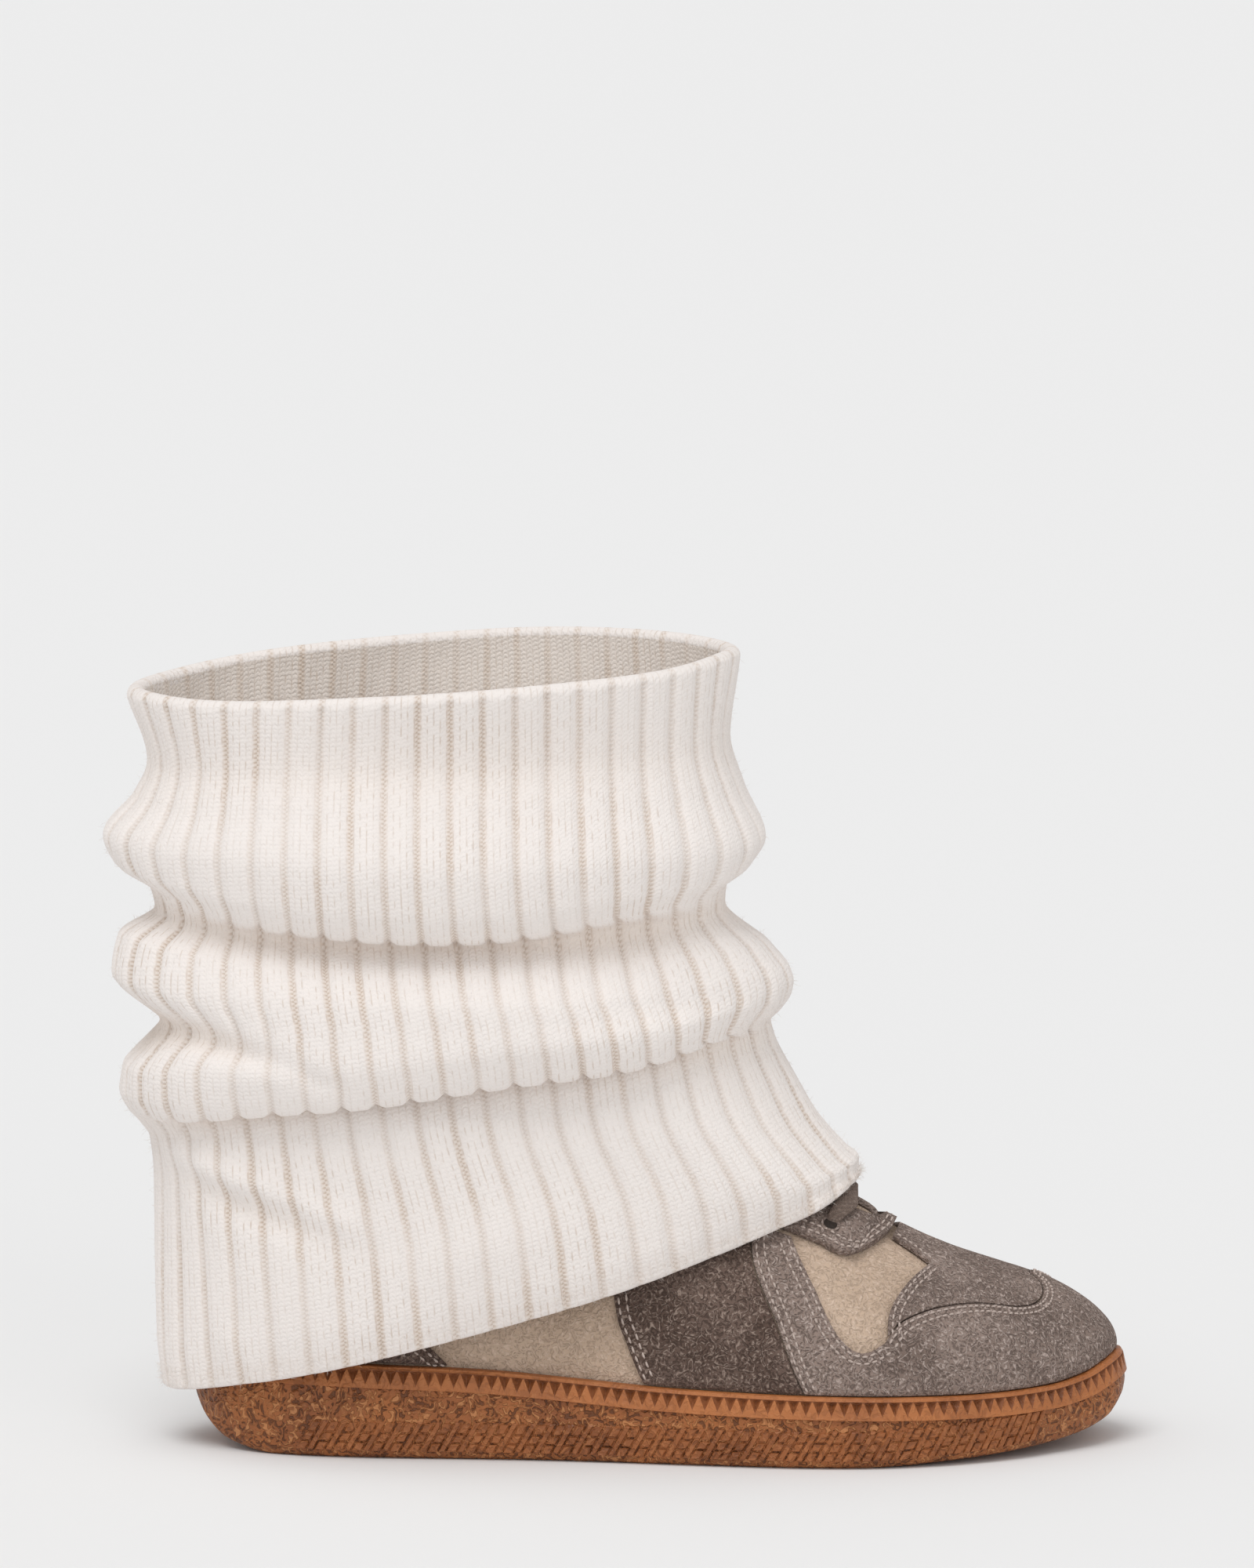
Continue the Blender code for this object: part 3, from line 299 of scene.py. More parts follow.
# The knitted shaft's rings from its hem to its top edge, in shares of its length, height and width:
# where the ring meets the back and the front, its spread to each side, and how far its sides hang
# below its middle
SHAFT_RINGS = Table(
    (
        "place",
        "back",
        "back_height",
        "front",
        "front_height",
        "outer",
        "inner",
        "outer_droop",
        "inner_droop",
    ),
    (
        (0.00, -0.280, 0.076, 0.860, 0.332, 0.445, 0.42, 0.045, 0.045),
        (0.06, -0.289, 0.135, 0.862, 0.356, 0.470, 0.44, 0.040, 0.040),
        (0.15, -0.291, 0.235, 0.840, 0.372, 0.480, 0.45, 0.020, 0.020),
        (0.24, -0.292, 0.330, 0.795, 0.412, 0.478, 0.46, -0.030, -0.010),
        (0.31, -0.300, 0.385, 0.752, 0.470, 0.448, 0.44, -0.070, -0.030),
        (0.34, -0.320, 0.406, 0.722, 0.515, 0.430, 0.43, -0.060, -0.030),
        (0.37, -0.342, 0.424, 0.714, 0.540, 0.528, 0.51, 0.015, 0.020),
        (0.40, -0.356, 0.447, 0.732, 0.557, 0.566, 0.54, -0.005, 0.005),
        (0.45, -0.352, 0.480, 0.748, 0.575, 0.580, 0.55, -0.005, 0.000),
        (0.50, -0.290, 0.540, 0.752, 0.590, 0.570, 0.54, 0.010, 0.005),
        (0.56, -0.366, 0.600, 0.748, 0.606, 0.558, 0.54, 0.035, 0.010),
        (0.61, -0.352, 0.650, 0.715, 0.640, 0.508, 0.49, 0.055, 0.015),
        (0.65, -0.290, 0.685, 0.645, 0.690, 0.425, 0.42, 0.065, 0.020),
        (0.68, -0.300, 0.716, 0.652, 0.722, 0.510, 0.50, 0.108, 0.050),
        (0.71, -0.356, 0.742, 0.696, 0.744, 0.560, 0.53, 0.078, 0.025),
        (0.75, -0.374, 0.775, 0.716, 0.772, 0.572, 0.55, 0.045, 0.000),
        (0.82, -0.325, 0.826, 0.678, 0.838, 0.505, 0.49, 0.010, -0.010),
        (0.89, -0.303, 0.870, 0.652, 0.900, 0.458, 0.45, 0.000, -0.025),
        (1.00, -0.333, 0.948, 0.667, 0.998, 0.490, 0.48, 0.025, -0.040),
    ),
)

# The same rings without their folds: the ribs on the shaft's sides run straight over the folds
CALM_RINGS = Table(
    ("place", "back", "front"),
    (
        (0.00, -0.280, 0.860),
        (0.15, -0.292, 0.840),
        (0.30, -0.310, 0.755),
        (0.50, -0.335, 0.730),
        (0.75, -0.345, 0.680),
        (1.00, -0.333, 0.667),
    ),
)
EDGE_SHARE = 4


def closed_curve(points, samples_between):
    """Samples of the smooth closed cubic curve through the points."""
    points = np.array(points, dtype=float)
    count = len(points)
    ahead = np.roll(points, -1, axis=0)
    spans = np.linalg.norm(ahead - points, axis=1)
    slopes = (ahead - points) / spans[:, None]
    matrix = np.zeros((count, count))
    for k in range(count):
        matrix[k, k - 1] = spans[k - 1]
        matrix[k, k] = 2 * (spans[k - 1] + spans[k])
        matrix[k, (k + 1) % count] = spans[k]
    bends = np.linalg.solve(matrix, 6 * (slopes - np.roll(slopes, 1, axis=0)))
    samples = []
    for k in range(count):
        after = (k + 1) % count
        for step in range(samples_between):
            share = step / samples_between
            rest = 1 - share
            square = spans[k] * spans[k] / 6
            samples.append(
                rest * points[k]
                + share * points[after]
                + square * ((rest**3 - rest) * bends[k] + (share**3 - share) * bends[after])
            )
    return np.array(samples)


def stroke(points, step):
    """Points a step or less apart along the smooth open curve through a few pattern points."""
    points = [Vector(p) for p in points]
    if len(points) == 2:
        parts = max(1, math.ceil((points[1] - points[0]).length / step))
        return [points[0].lerp(points[1], k / parts) for k in range(parts)]
    drawn = []
    for k in range(len(points) - 1):
        before = points[max(k - 1, 0)]
        start = points[k]
        end = points[k + 1]
        after = points[min(k + 2, len(points) - 1)]
        parts = max(1, math.ceil((end - start).length / step))
        for part in range(parts):
            share = part / parts
            drawn.append(
                0.5
                * (
                    2 * start
                    + (end - before) * share
                    + (2 * before - 5 * start + 4 * end - after) * share**2
                    + (3 * start - before - 3 * end + after) * share**3
                )
            )
    return drawn


def drawn_outline():
    """The sole's outline from above as dense points, and the running length of each side."""
    spread = [(along * SOLE_LENGTH - HEEL_SEAT, across * BALL_WIDTH) for along, across in SOLE_OUTLINE]
    samples_between = 24
    samples = closed_curve(spread, samples_between)
    heel = HEEL_ROW * samples_between
    sides = {OUTER: samples[: heel + 1], INNER: np.vstack([samples[heel:], samples[:1]])[::-1]}
    lengths = {}
    for side, points in sides.items():
        lengths[side] = np.concatenate([[0], np.cumsum(np.linalg.norm(np.diff(points, axis=0), axis=1))])
    return sides, lengths


OUTLINE_SIDES, OUTLINE_LENGTHS = drawn_outline()
SIDE_LENGTH = float(OUTLINE_LENGTHS[OUTER][-1] + OUTLINE_LENGTHS[INNER][-1]) / 2


def unit(vectors):
    return vectors / np.maximum(np.linalg.norm(vectors, axis=-1, keepdims=True), 1e-12)


def side_and_share(turn):
    """Sides and toe-to-heel shares of places round the boot: 0 and 2 at the toe, 1 at the heel."""
    turn = np.mod(np.asarray(turn, dtype=float), 2.0)
    outer = turn <= 1.0
    return np.where(outer, OUTER, INNER), np.where(outer, turn, 2.0 - turn)


def outline_sample(turn):
    side, share = side_and_share(turn)
    place = np.zeros(share.shape + (2,))
    for which, points in OUTLINE_SIDES.items():
        run = OUTLINE_LENGTHS[which]
        for axis in (0, 1):
            drawn = np.interp(share * run[-1], run, points[:, axis])
            place[..., axis] = np.where(side == which, drawn, place[..., axis])
    return place


def outline_at(turn, inset=0.0):
    """Points of the sole's outline, set in by a distance, and the outward direction at each."""
    turn = np.asarray(turn, dtype=float)
    nudge = 0.004
    tangent = unit(outline_sample(turn + nudge) - outline_sample(turn - nudge))
    outward = np.stack([tangent[..., 1], -tangent[..., 0]], axis=-1)
    middle = outline_sample(turn)
    centre = np.array([SOLE_LENGTH * 0.4 - HEEL_SEAT, 0.0])
    facing = np.sign(np.sum(outward * (middle - centre), axis=-1, keepdims=True))
    outward = outward * facing
    return middle - outward * np.asarray(inset)[..., None], outward


def along_at(turn):
    """The share of the sole's length at places round the boot."""
    return (outline_sample(turn)[..., 0] + HEEL_SEAT) / SOLE_LENGTH


def rim_height(turn):
    return RIM_HEIGHT * SOLE_LEVELS("rim", along_at(turn))


def tread_height(turn):
    """How high the sole's underside lies: 0 but for the heel's and the toe's spring and the inner arch."""
    side, _ = side_and_share(turn)
    along = along_at(turn)
    lift = HEEL_SPRING * SOLE_LEVELS("heel_lift", along) + TOE_SPRING * SOLE_LEVELS("toe_lift", along)
    return lift + np.where(side == INNER, ARCH_LIFT * SOLE_LEVELS("arch_lift", along), 0.0)


def sole_points(turn, height, inset):
    place, _ = outline_at(turn, np.broadcast_to(inset, np.shape(turn)))
    return np.concatenate([place, np.broadcast_to(height, np.shape(turn))[..., None]], axis=-1)


def section(turn):
    """The four control points of the upper's section at places round the boot, from the rim to the top."""
    side, share = side_and_share(turn)
    foot_height = rim_height(turn) + SEAM_GAP
    foot = sole_points(turn, foot_height, UPPER_INSET)
    outward = outline_at(turn)[1]
    at_throat = UPPER_SECTIONS("throat", share) * THROAT_WIDTH / 2
    at_collar = UPPER_SECTIONS("collar", share) * COLLAR_WIDTH / 2
    top = np.stack(
        [
            UPPER_SECTIONS("along", share) * SOLE_LENGTH - HEEL_SEAT,
            side * (at_throat + at_collar),
            UPPER_SECTIONS("height", share) * INSTEP_HEIGHT,
        ],
        axis=-1,
    )
    climb = top[..., 2] - foot[..., 2]
    flare = outward * (UPPER_SECTIONS("flare", share) * BALL_WIDTH)[..., None]
    rise = UPPER_SECTIONS("rise", share) * climb
    lower = foot + np.concatenate([flare, rise[..., None]], axis=-1)
    reach = UPPER_SECTIONS("reach", share)[..., None]
    drop = -UPPER_SECTIONS("drop", share) * climb
    upper = top + np.concatenate([reach * (foot - top)[..., :2], drop[..., None]], axis=-1)
    return foot, lower, upper, top


def on_section(points, up):
    foot, lower, upper, top = points
    up = np.asarray(up, dtype=float)[..., None]
    rest = 1 - up
    return foot * rest**3 + lower * 3 * rest**2 * up + upper * 3 * rest * up**2 + top * up**3


def skin_normal(turn, up):
    """The outward direction of the upper's skin."""
    nudge = 0.006
    turn = np.asarray(turn, dtype=float)
    up = np.broadcast_to(np.asarray(up, dtype=float), turn.shape)
    _, share = side_and_share(turn)
    on_ridge = (up > 0.999) & (share <= VAMP_END + 1e-6)
    up = np.where(share < 2 * nudge, np.minimum(up, 0.95), up)
    ahead = on_section(section(turn + nudge), up)
    behind = on_section(section(turn - nudge), up)
    points = section(turn)
    above = on_section(points, np.minimum(up + nudge, 1.0))
    below = on_section(points, np.maximum(up - nudge, 0.0))
    normal = unit(np.cross(behind - ahead, above - below))
    level = unit(normal * np.array([1.0, 0.0, 1.0]))
    return np.where(on_ridge[..., None], level, normal)


def skin(turn, up, lift=0.0):
    """Points of the upper's outer face, raised by a distance along the outward direction."""
    turn = np.asarray(turn, dtype=float)
    up = np.broadcast_to(np.asarray(up, dtype=float), turn.shape)
    lift = np.broadcast_to(np.asarray(lift, dtype=float), turn.shape)
    return on_section(section(turn), up) + skin_normal(turn, up) * lift[..., None]


def over_instep(share, across, lift):
    """A point over the vamp or the throat, an arc length to one side of its middle."""
    side = OUTER if across < 0 else INNER
    turn = share if side == OUTER else 2.0 - share
    points = section(turn)
    top = points[3]
    width = max(abs(top[1]), 1e-9)
    run = abs(across)
    if run <= width:
        fall = (top[2] - points[2][2]) / max(abs(points[2][1] - top[1]), 1e-6)
        crown = width * fall / 2 * (1 - (run / width) ** 2)
        normal = skin_normal(turn, 1.0)
        centre = unit(normal * np.array([1.0, 0.0, 1.0]))
        mixed = unit(centre + (normal - centre) * run / width)
        return np.array([top[0], side * run, top[2] + crown]) + mixed * lift
    ups = np.linspace(1.0, 0.3, 71)
    walk = np.stack([on_section(points, up) for up in ups])
    walked = np.concatenate([[0], np.cumsum(np.linalg.norm(np.diff(walk, axis=0), axis=1))])
    up = float(np.interp(run - width, walked, ups))
    return on_section(points, up) + skin_normal(turn, up) * lift


class Wiring:
    """Adds shader nodes to a tree in short lines."""

    def __init__(self, tree):
        self.tree = tree

    def node(self, kind, inputs=None, **settings):
        added = self.tree.nodes.new(kind)
        for name, value in settings.items():
            setattr(added, name, value)
        for name, value in (inputs or {}).items():
            self.feed(value, added.inputs[name])
        return added

    def feed(self, value, socket):
        if isinstance(value, bpy.types.NodeSocket):
            self.tree.links.new(value, socket)
        elif isinstance(value, tuple) and len(value) == 3 and socket.type == "RGBA":
            socket.default_value = (*value, 1.0)
        else:
            socket.default_value = value

    def math(self, operation, first, second=0.0, clamp=False):
        added = self.tree.nodes.new("ShaderNodeMath")
        added.operation = operation
        added.use_clamp = clamp
        self.feed(first, added.inputs[0])
        self.feed(second, added.inputs[1])
        return added.outputs[0]

    def blend(self, factor, first, second):
        added = self.tree.nodes.new("ShaderNodeMix")
        added.data_type = "RGBA"
        self.feed(factor, added.inputs[0])
        self.feed(first, added.inputs[6])
        self.feed(second, added.inputs[7])
        return added.outputs[2]

    def between(self, value, low, high):
        """The value's share of the way from low to high, kept from 0 to 1."""
        inputs = {"Value": value, "From Min": low, "From Max": high}
        return self.node("ShaderNodeMapRange", inputs, interpolation_type="SMOOTHSTEP").outputs[0]

    def noise(self, place, scale, detail=2.0, distortion=0.0):
        inputs = {"Vector": place, "Scale": scale, "Detail": detail, "Distortion": distortion}
        return self.node("ShaderNodeTexNoise", inputs).outputs[0]


def effect(name, inputs, outputs):
    """A new node group with named inputs and outputs, its wiring, and its two end nodes."""
    group = bpy.data.node_groups.new(name, "ShaderNodeTree")
    for label, value in inputs:
        socket = group.interface.new_socket(label, in_out="INPUT", socket_type="NodeSocketFloat")
        socket.default_value = value
    for label in outputs:
        group.interface.new_socket(label, in_out="OUTPUT", socket_type="NodeSocketFloat")
    wiring = Wiring(group)
    return group, wiring, wiring.node("NodeGroupInput").outputs, wiring.node("NodeGroupOutput").inputs


def make_curled_fibre():
    """Short curled fibres in whorls, the pits between them, and broad lighter and darker patches."""
    group, wiring, given, put = effect(
        "curled_fibre",
        (("Whorls", 130.0), ("Turns", 5.0), ("Breaks", 420.0), ("Patches", 45.0)),
        ("Fibre", "Pit", "Patch", "Height"),
    )
    place = wiring.node("ShaderNodeTexCoord").outputs["Object"]
    whorl = wiring.noise(place, given["Whorls"], 1.5, 0.6)
    turned = wiring.math("MULTIPLY", wiring.math("MULTIPLY", whorl, given["Turns"]), 2 * math.pi)
    wave = wiring.math("SINE", turned)
    breaks = wiring.noise(place, given["Breaks"], 1.0, 0.4)
    fibre = wiring.math("MULTIPLY", wiring.between(wave, 0.15, 0.85), wiring.between(breaks, 0.38, 0.56))
    pit = wiring.math("MULTIPLY", wiring.between(wave, -0.2, -0.9), wiring.between(breaks, 0.60, 0.42))
    grain = wiring.noise(place, wiring.math("MULTIPLY", given["Breaks"], 2.6), 2.0)
    patch = wiring.noise(place, given["Patches"], 3.0)
    wiring.feed(fibre, put["Fibre"])
    wiring.feed(pit, put["Pit"])
    wiring.feed(wiring.between(patch, 0.36, 0.64), put["Patch"])
    height = wiring.math("ADD", wiring.math("SUBTRACT", fibre, pit), wiring.math("MULTIPLY", grain, 0.5))
    wiring.feed(height, put["Height"])
    return group


def make_rib_stitches():
    """Knit stitches from the ribs' own coordinates: one unit across is a rib, one unit up is a stitch."""
    group, wiring, given, put = effect(
        "rib_stitches", (("Wales", 5.0), ("Lean", 0.55)), ("Height", "Trough", "Gap")
    )
    spread = wiring.node("ShaderNodeTexCoord").outputs["UV"]
    place = wiring.node("ShaderNodeSeparateXYZ", {0: spread})
    across = place.outputs[0]
    along = place.outputs[1]
    rib = wiring.math("FRACT", across)
    from_trough = wiring.math("SUBTRACT", 0.5, wiring.math("ABSOLUTE", wiring.math("SUBTRACT", rib, 0.5)))
    trough = wiring.between(from_trough, 0.15, 0.03)
    wale = wiring.math("FRACT", wiring.math("ADD", wiring.math("MULTIPLY", across, given["Wales"]), 0.5))
    lean = wiring.math("ABSOLUTE", wiring.math("SUBTRACT", wale, 0.5))
    row = wiring.math("ADD", along, wiring.math("MULTIPLY", lean, given["Lean"]))
    strand = wiring.math("ABSOLUTE", wiring.math("SUBTRACT", wiring.math("FRACT", row), 0.5))
    loop = wiring.math("MULTIPLY", wiring.between(strand, 0.5, 0.1), wiring.between(lean, 0.5, 0.3))
    side = wiring.math("MULTIPLY", wiring.math("GREATER_THAN", rib, 0.5), math.pi)
    purl = wiring.math("SINE", wiring.math("ADD", wiring.math("MULTIPLY", along, 2 * math.pi), side))
    stretched = wiring.node("ShaderNodeVectorMath", {0: spread, 1: (7.0, 0.5, 1.0)}, operation="MULTIPLY")
    dots = wiring.noise(stretched.outputs[0], 1.0, 2.0)
    # Gap marks the seams between the wales and the pits of the purl stitches, where the knit is painted in
    # its deepest shade.
    seam = wiring.math("MULTIPLY", wiring.between(lean, 0.32, 0.48), wiring.between(dots, 0.40, 0.62))
    pit = wiring.math("MULTIPLY", trough, wiring.between(purl, 0.4, -0.9))
    wiring.feed(wiring.math("MAXIMUM", wiring.math("MULTIPLY", seam, 0.8), pit), put["Gap"])
    wiring.feed(trough, put["Trough"])
    plain = wiring.math("MULTIPLY", loop, wiring.math("SUBTRACT", 1.0, trough))
    bumps = wiring.math("MULTIPLY", trough, wiring.between(purl, -1.0, 1.0))
    wiring.feed(wiring.math("ADD", plain, bumps), put["Height"])
    return group


def make_plain_weave():
    """Threads crossing over and under, by the piece's own coordinates."""
    group, wiring, given, put = effect("plain_weave", (("Threads", 1400.0),), ("Height",))
    place = wiring.node("ShaderNodeSeparateXYZ", {0: wiring.node("ShaderNodeTexCoord").outputs["UV"]})
    across = wiring.math("MULTIPLY", place.outputs[0], given["Threads"])
    along = wiring.math("MULTIPLY", place.outputs[1], given["Threads"])
    warp = wiring.math("ABSOLUTE", wiring.math("SINE", across))
    weft = wiring.math("ABSOLUTE", wiring.math("SINE", along))
    turn_over = wiring.math("SINE", wiring.math("MULTIPLY", wiring.math("ADD", across, along), 0.5))
    over = wiring.between(turn_over, -0.4, 0.4)
    height = wiring.math("ADD", wiring.math("MULTIPLY", warp, over), wiring.math("MULTIPLY", weft, 0.6))
    wiring.feed(height, put["Height"])
    return group


CURLED_FIBRE = make_curled_fibre()
RIB_STITCHES = make_rib_stitches()
PLAIN_WEAVE = make_plain_weave()


def surface(name, roughness, sheen=0.0, sheen_colour=(1.0, 1.0, 1.0), specular=0.3):
    """A new material with its shader's plain values set. Gives the material, its wiring and the shader."""
    material = bpy.data.materials.new(name)
    material.use_nodes = True
    wiring = Wiring(material.node_tree)
    shader = material.node_tree.nodes["Principled BSDF"]
    shader.inputs["Roughness"].default_value = roughness
    shader.inputs["Specular IOR Level"].default_value = specular
    shader.inputs["Sheen Weight"].default_value = sheen
    shader.inputs["Sheen Roughness"].default_value = 0.5
    shader.inputs["Sheen Tint"].default_value = (*sheen_colour, 1.0)
    return material, wiring, shader


def place_effect(wiring, group, **values):
    added = wiring.node("ShaderNodeGroup", node_tree=group)
    for name, value in values.items():
        added.inputs[name].default_value = value
    return added.outputs


def raise_surface(wiring, shader, height, distance, strength=1.0, under=None):
    inputs = {"Height": height, "Distance": distance, "Strength": strength}
    if under is not None:
        inputs["Normal"] = under
    bump = wiring.node("ShaderNodeBump", inputs).outputs[0]
    wiring.feed(bump, shader.inputs["Normal"])
    return bump


def suede(name, colour, shadow, light, fibre_share=0.6, relief=0.0004):
    """Short-napped suede: curled fibres that catch the light over darker skin, with painted shade in the
    pits between them, in brushed patches.
    """
    material, wiring, shader = surface(name, 0.95, sheen=0.25, sheen_colour=light, specular=0.12)
    nap = place_effect(wiring, CURLED_FIBRE, Whorls=380.0, Turns=5.0, Breaks=1150.0, Patches=34.0)
    brushed = wiring.blend(nap["Patch"], shadow, colour)
    # Painted shade: the pits between the fibres are darkened to a share of the shadow colour.
    dark = tuple(0.45 * c for c in shadow)
    pitted = wiring.blend(wiring.math("MULTIPLY", nap["Pit"], fibre_share), brushed, dark)
    lit = wiring.math("MULTIPLY", nap["Fibre"], fibre_share)
    wiring.feed(wiring.blend(lit, pitted, light), shader.inputs["Base Color"])
    raise_surface(wiring, shader, nap["Height"], relief, 0.9)
    return material


def gum(name, colour, shadow, light, relief, crumb_share):
    """Gum rubber, cloudy and crumbled where it isn't moulded smooth, with painted shade in the crumb's pits.
    """
    material, wiring, shader = surface(name, 0.5, specular=0.4)
    crumb = place_effect(wiring, CURLED_FIBRE, Whorls=250.0, Turns=4.0, Breaks=600.0, Patches=55.0)
    cloudy = wiring.blend(crumb["Patch"], shadow, colour)
    pitted = wiring.math("MULTIPLY", crumb["Pit"], crumb_share)
    # Painted shade: the crumb's pits are darkened to a share of the shadow colour.
    sunk = wiring.blend(pitted, cloudy, tuple(0.3 * c for c in shadow))
    lit = wiring.math("MULTIPLY", crumb["Fibre"], crumb_share * 0.7)
    wiring.feed(wiring.blend(lit, sunk, light), shader.inputs["Base Color"])
    rough = wiring.math("ADD", 0.42, wiring.math("MULTIPLY", crumb["Patch"], 0.2))
    wiring.feed(rough, shader.inputs["Roughness"])
    raise_surface(wiring, shader, crumb["Height"], relief, 1.0)
    return material


def rib_knit(name, colour, shade, deep):
    """Brushed rib knit: pale loops, with painted shade in the creases, the troughs and between the wales."""
    material, wiring, shader = surface(name, 0.95, sheen=0.35, sheen_colour=colour, specular=0.05)
    stitch = place_effect(wiring, RIB_STITCHES, Wales=5.0, Lean=0.9)
    place = wiring.node("ShaderNodeTexCoord").outputs["Object"]
    cloud = wiring.noise(place, 26.0, 3.0)
    fuzz = wiring.noise(place, 1300.0, 2.0)
    # The crease attribute gives how deep a point lies in a fold; it drives the painted shade below.
    crease = wiring.node("ShaderNodeAttribute", attribute_name="crease").outputs["Fac"]
    crease_shade_and_bare_patches = wiring.math("MAXIMUM", crease, wiring.between(cloud, 0.40, 0.66))
    # Painted shade: the rib troughs are darkened towards the shade colour, more in creases and cloudy
    # patches, and the creases themselves are painted in shade.
    trough_share = wiring.math("ADD", 0.22, wiring.math("MULTIPLY", crease_shade_and_bare_patches, 0.42))
    painted_trough_and_crease_shade = wiring.math("MULTIPLY", stitch["Trough"], trough_share)
    painted_trough_and_crease_shade = wiring.math("MAXIMUM", painted_trough_and_crease_shade, wiring.math("MULTIPLY", crease, 0.55))
    body = wiring.blend(painted_trough_and_crease_shade, colour, shade)
    # Painted shade in the deep colour between the wales and in the troughs' purl pits, stronger in creases.
    gap_share = wiring.math("ADD", 0.25, wiring.math("MULTIPLY", crease_shade_and_bare_patches, 0.45))
    gap = wiring.math("MULTIPLY", stitch["Gap"], gap_share)
    wiring.feed(wiring.blend(gap, body, deep), shader.inputs["Base Color"])
    soft = raise_surface(wiring, shader, fuzz, 0.0003, 0.7)
    raise_surface(wiring, shader, stitch["Height"], 0.0002, 0.45, under=soft)
    return material


def thread(name, colour, light, threads=0.0):
    """Spun thread or woven tape."""
    material, wiring, shader = surface(name, 0.85, sheen=0.3, sheen_colour=light, specular=0.15)
    nap = place_effect(wiring, CURLED_FIBRE, Whorls=700.0, Turns=3.0, Breaks=1500.0, Patches=120.0)
    lit = wiring.math("MULTIPLY", nap["Fibre"], 0.35)
    wiring.feed(wiring.blend(lit, colour, light), shader.inputs["Base Color"])
    if threads:
        weave = place_effect(wiring, PLAIN_WEAVE, Threads=threads)
        raise_surface(wiring, shader, weave["Height"], 0.0003, 0.8)
    else:
        raise_surface(wiring, shader, nap["Height"], 0.0001, 0.5)
    return material


# Knit colours: the loops' own colour, the painted shade of troughs and creases, and the deeper painted shade
# between the wales.
CREAM_KNIT = rib_knit("cream rib knit", (0.87, 0.815, 0.78), (0.76, 0.65, 0.56), (0.54, 0.42, 0.33))
CREAM_LINING = rib_knit("cream knit inside", (0.90, 0.83, 0.77), (0.78, 0.66, 0.56), (0.58, 0.46, 0.36))
KNIT_HAIR = thread("knit hair", (0.82, 0.76, 0.71), (0.92, 0.88, 0.85))
TAUPE_SUEDE = suede("taupe suede", (0.290, 0.220, 0.188), (0.190, 0.140, 0.118), (0.56, 0.46, 0.415))
DARK_SUEDE = suede("dark taupe suede", (0.160, 0.110, 0.090), (0.098, 0.064, 0.051), (0.40, 0.31, 0.26))
SAND_SUEDE = suede(
    "sand suede", (0.60, 0.455, 0.345), (0.53, 0.395, 0.295), (0.80, 0.64, 0.53), 0.35, 0.0002
)
GUM = gum("gum rubber", (0.37, 0.125, 0.036), (0.25, 0.078, 0.021), (0.62, 0.28, 0.11), 0.0005, 0.75)
SMOOTH_GUM = gum(
    "moulded gum rubber", (0.44, 0.155, 0.048), (0.36, 0.120, 0.035), (0.60, 0.26, 0.10), 0.00012, 0.2
)
# Darker rubber for the sunk triangles of the toothed band: painted shade in the hollows.
HOLLOW_SHADE_GUM = gum(
    "rubber in painted hollow shade", (0.25, 0.080, 0.024), (0.19, 0.058, 0.016), (0.36, 0.13, 0.04), 0.0001, 0.2
)
TREAD_GUM = gum("tread rubber", (0.33, 0.110, 0.033), (0.24, 0.075, 0.021), (0.52, 0.21, 0.08), 0.0002, 0.35)
PALE_THREAD = thread("pale stitching thread", (0.50, 0.41, 0.365), (0.68, 0.59, 0.53))
FLAT_LACE = thread("flat lace", (0.165, 0.120, 0.098), (0.36, 0.29, 0.25), 5200.0)
LINING_CLOTH = thread("lining cloth", (0.50, 0.41, 0.33), (0.62, 0.53, 0.44), 5200.0)
INSOLE_CLOTH = thread("insole cloth", (0.55, 0.46, 0.375), (0.68, 0.59, 0.50), 4200.0)
# Near-black colour for the eyelet discs: painted shade inside the holes.
EYELET_SHADE = thread("shade in punched hole", (0.035, 0.026, 0.022), (0.06, 0.05, 0.045))


def put(name, verts, faces, material, slot, replaces=(), coordinates=None, sharp_angle=180):
    """A mesh piece in the boot's frame, riding on its body, with its finish and the nodes it stands for."""
    mesh = bpy.data.meshes.new(name)
    mesh.from_pydata([tuple(map(float, v)) for v in verts], [], [tuple(map(int, f)) for f in faces])
    if coordinates is not None:
        layer = mesh.uv_layers.new(name="pattern")
        corners = np.empty(len(mesh.loops), dtype=np.int32)
        mesh.loops.foreach_get("vertex_index", corners)
        layer.data.foreach_set("uv", np.asarray(coordinates, dtype=np.float32)[corners].ravel())
    return dress(name, mesh, material, replaces, sharp_angle)


def dress(name, mesh, material, replaces=(), sharp_angle=180):
    mesh.shade_smooth()
    if sharp_angle < 180:
        mesh.set_sharp_from_angle(angle=math.radians(sharp_angle))
    mesh.materials.append(material)
    piece = bpy.data.objects.new(name, mesh)
    bpy.context.scene.collection.objects.link(piece)
    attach(piece, "root")
    if replaces:
        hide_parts(*replaces)
    return piece


def put_bmesh(name, bm, material, replaces=(), sharp_angle=35):
    mesh = bpy.data.meshes.new(name)
    bm.to_mesh(mesh)
    bm.free()
    return dress(name, mesh, material, replaces, sharp_angle)


def thicken(piece, thickness, outward, even=False):
    wall = piece.modifiers.new("wall", "SOLIDIFY")
    wall.thickness = thickness
    wall.offset = 1.0 if outward else -1.0
    wall.use_even_offset = even
    wall.use_quality_normals = True
    return wall


def round_edges(piece, width, angle=50, segments=2):
    rounding = piece.modifiers.new("rounding", "BEVEL")
    rounding.width = width
    rounding.segments = segments
    rounding.limit_method = "ANGLE"
    rounding.angle_limit = math.radians(angle)
    rounding.harden_normals = False
    return rounding


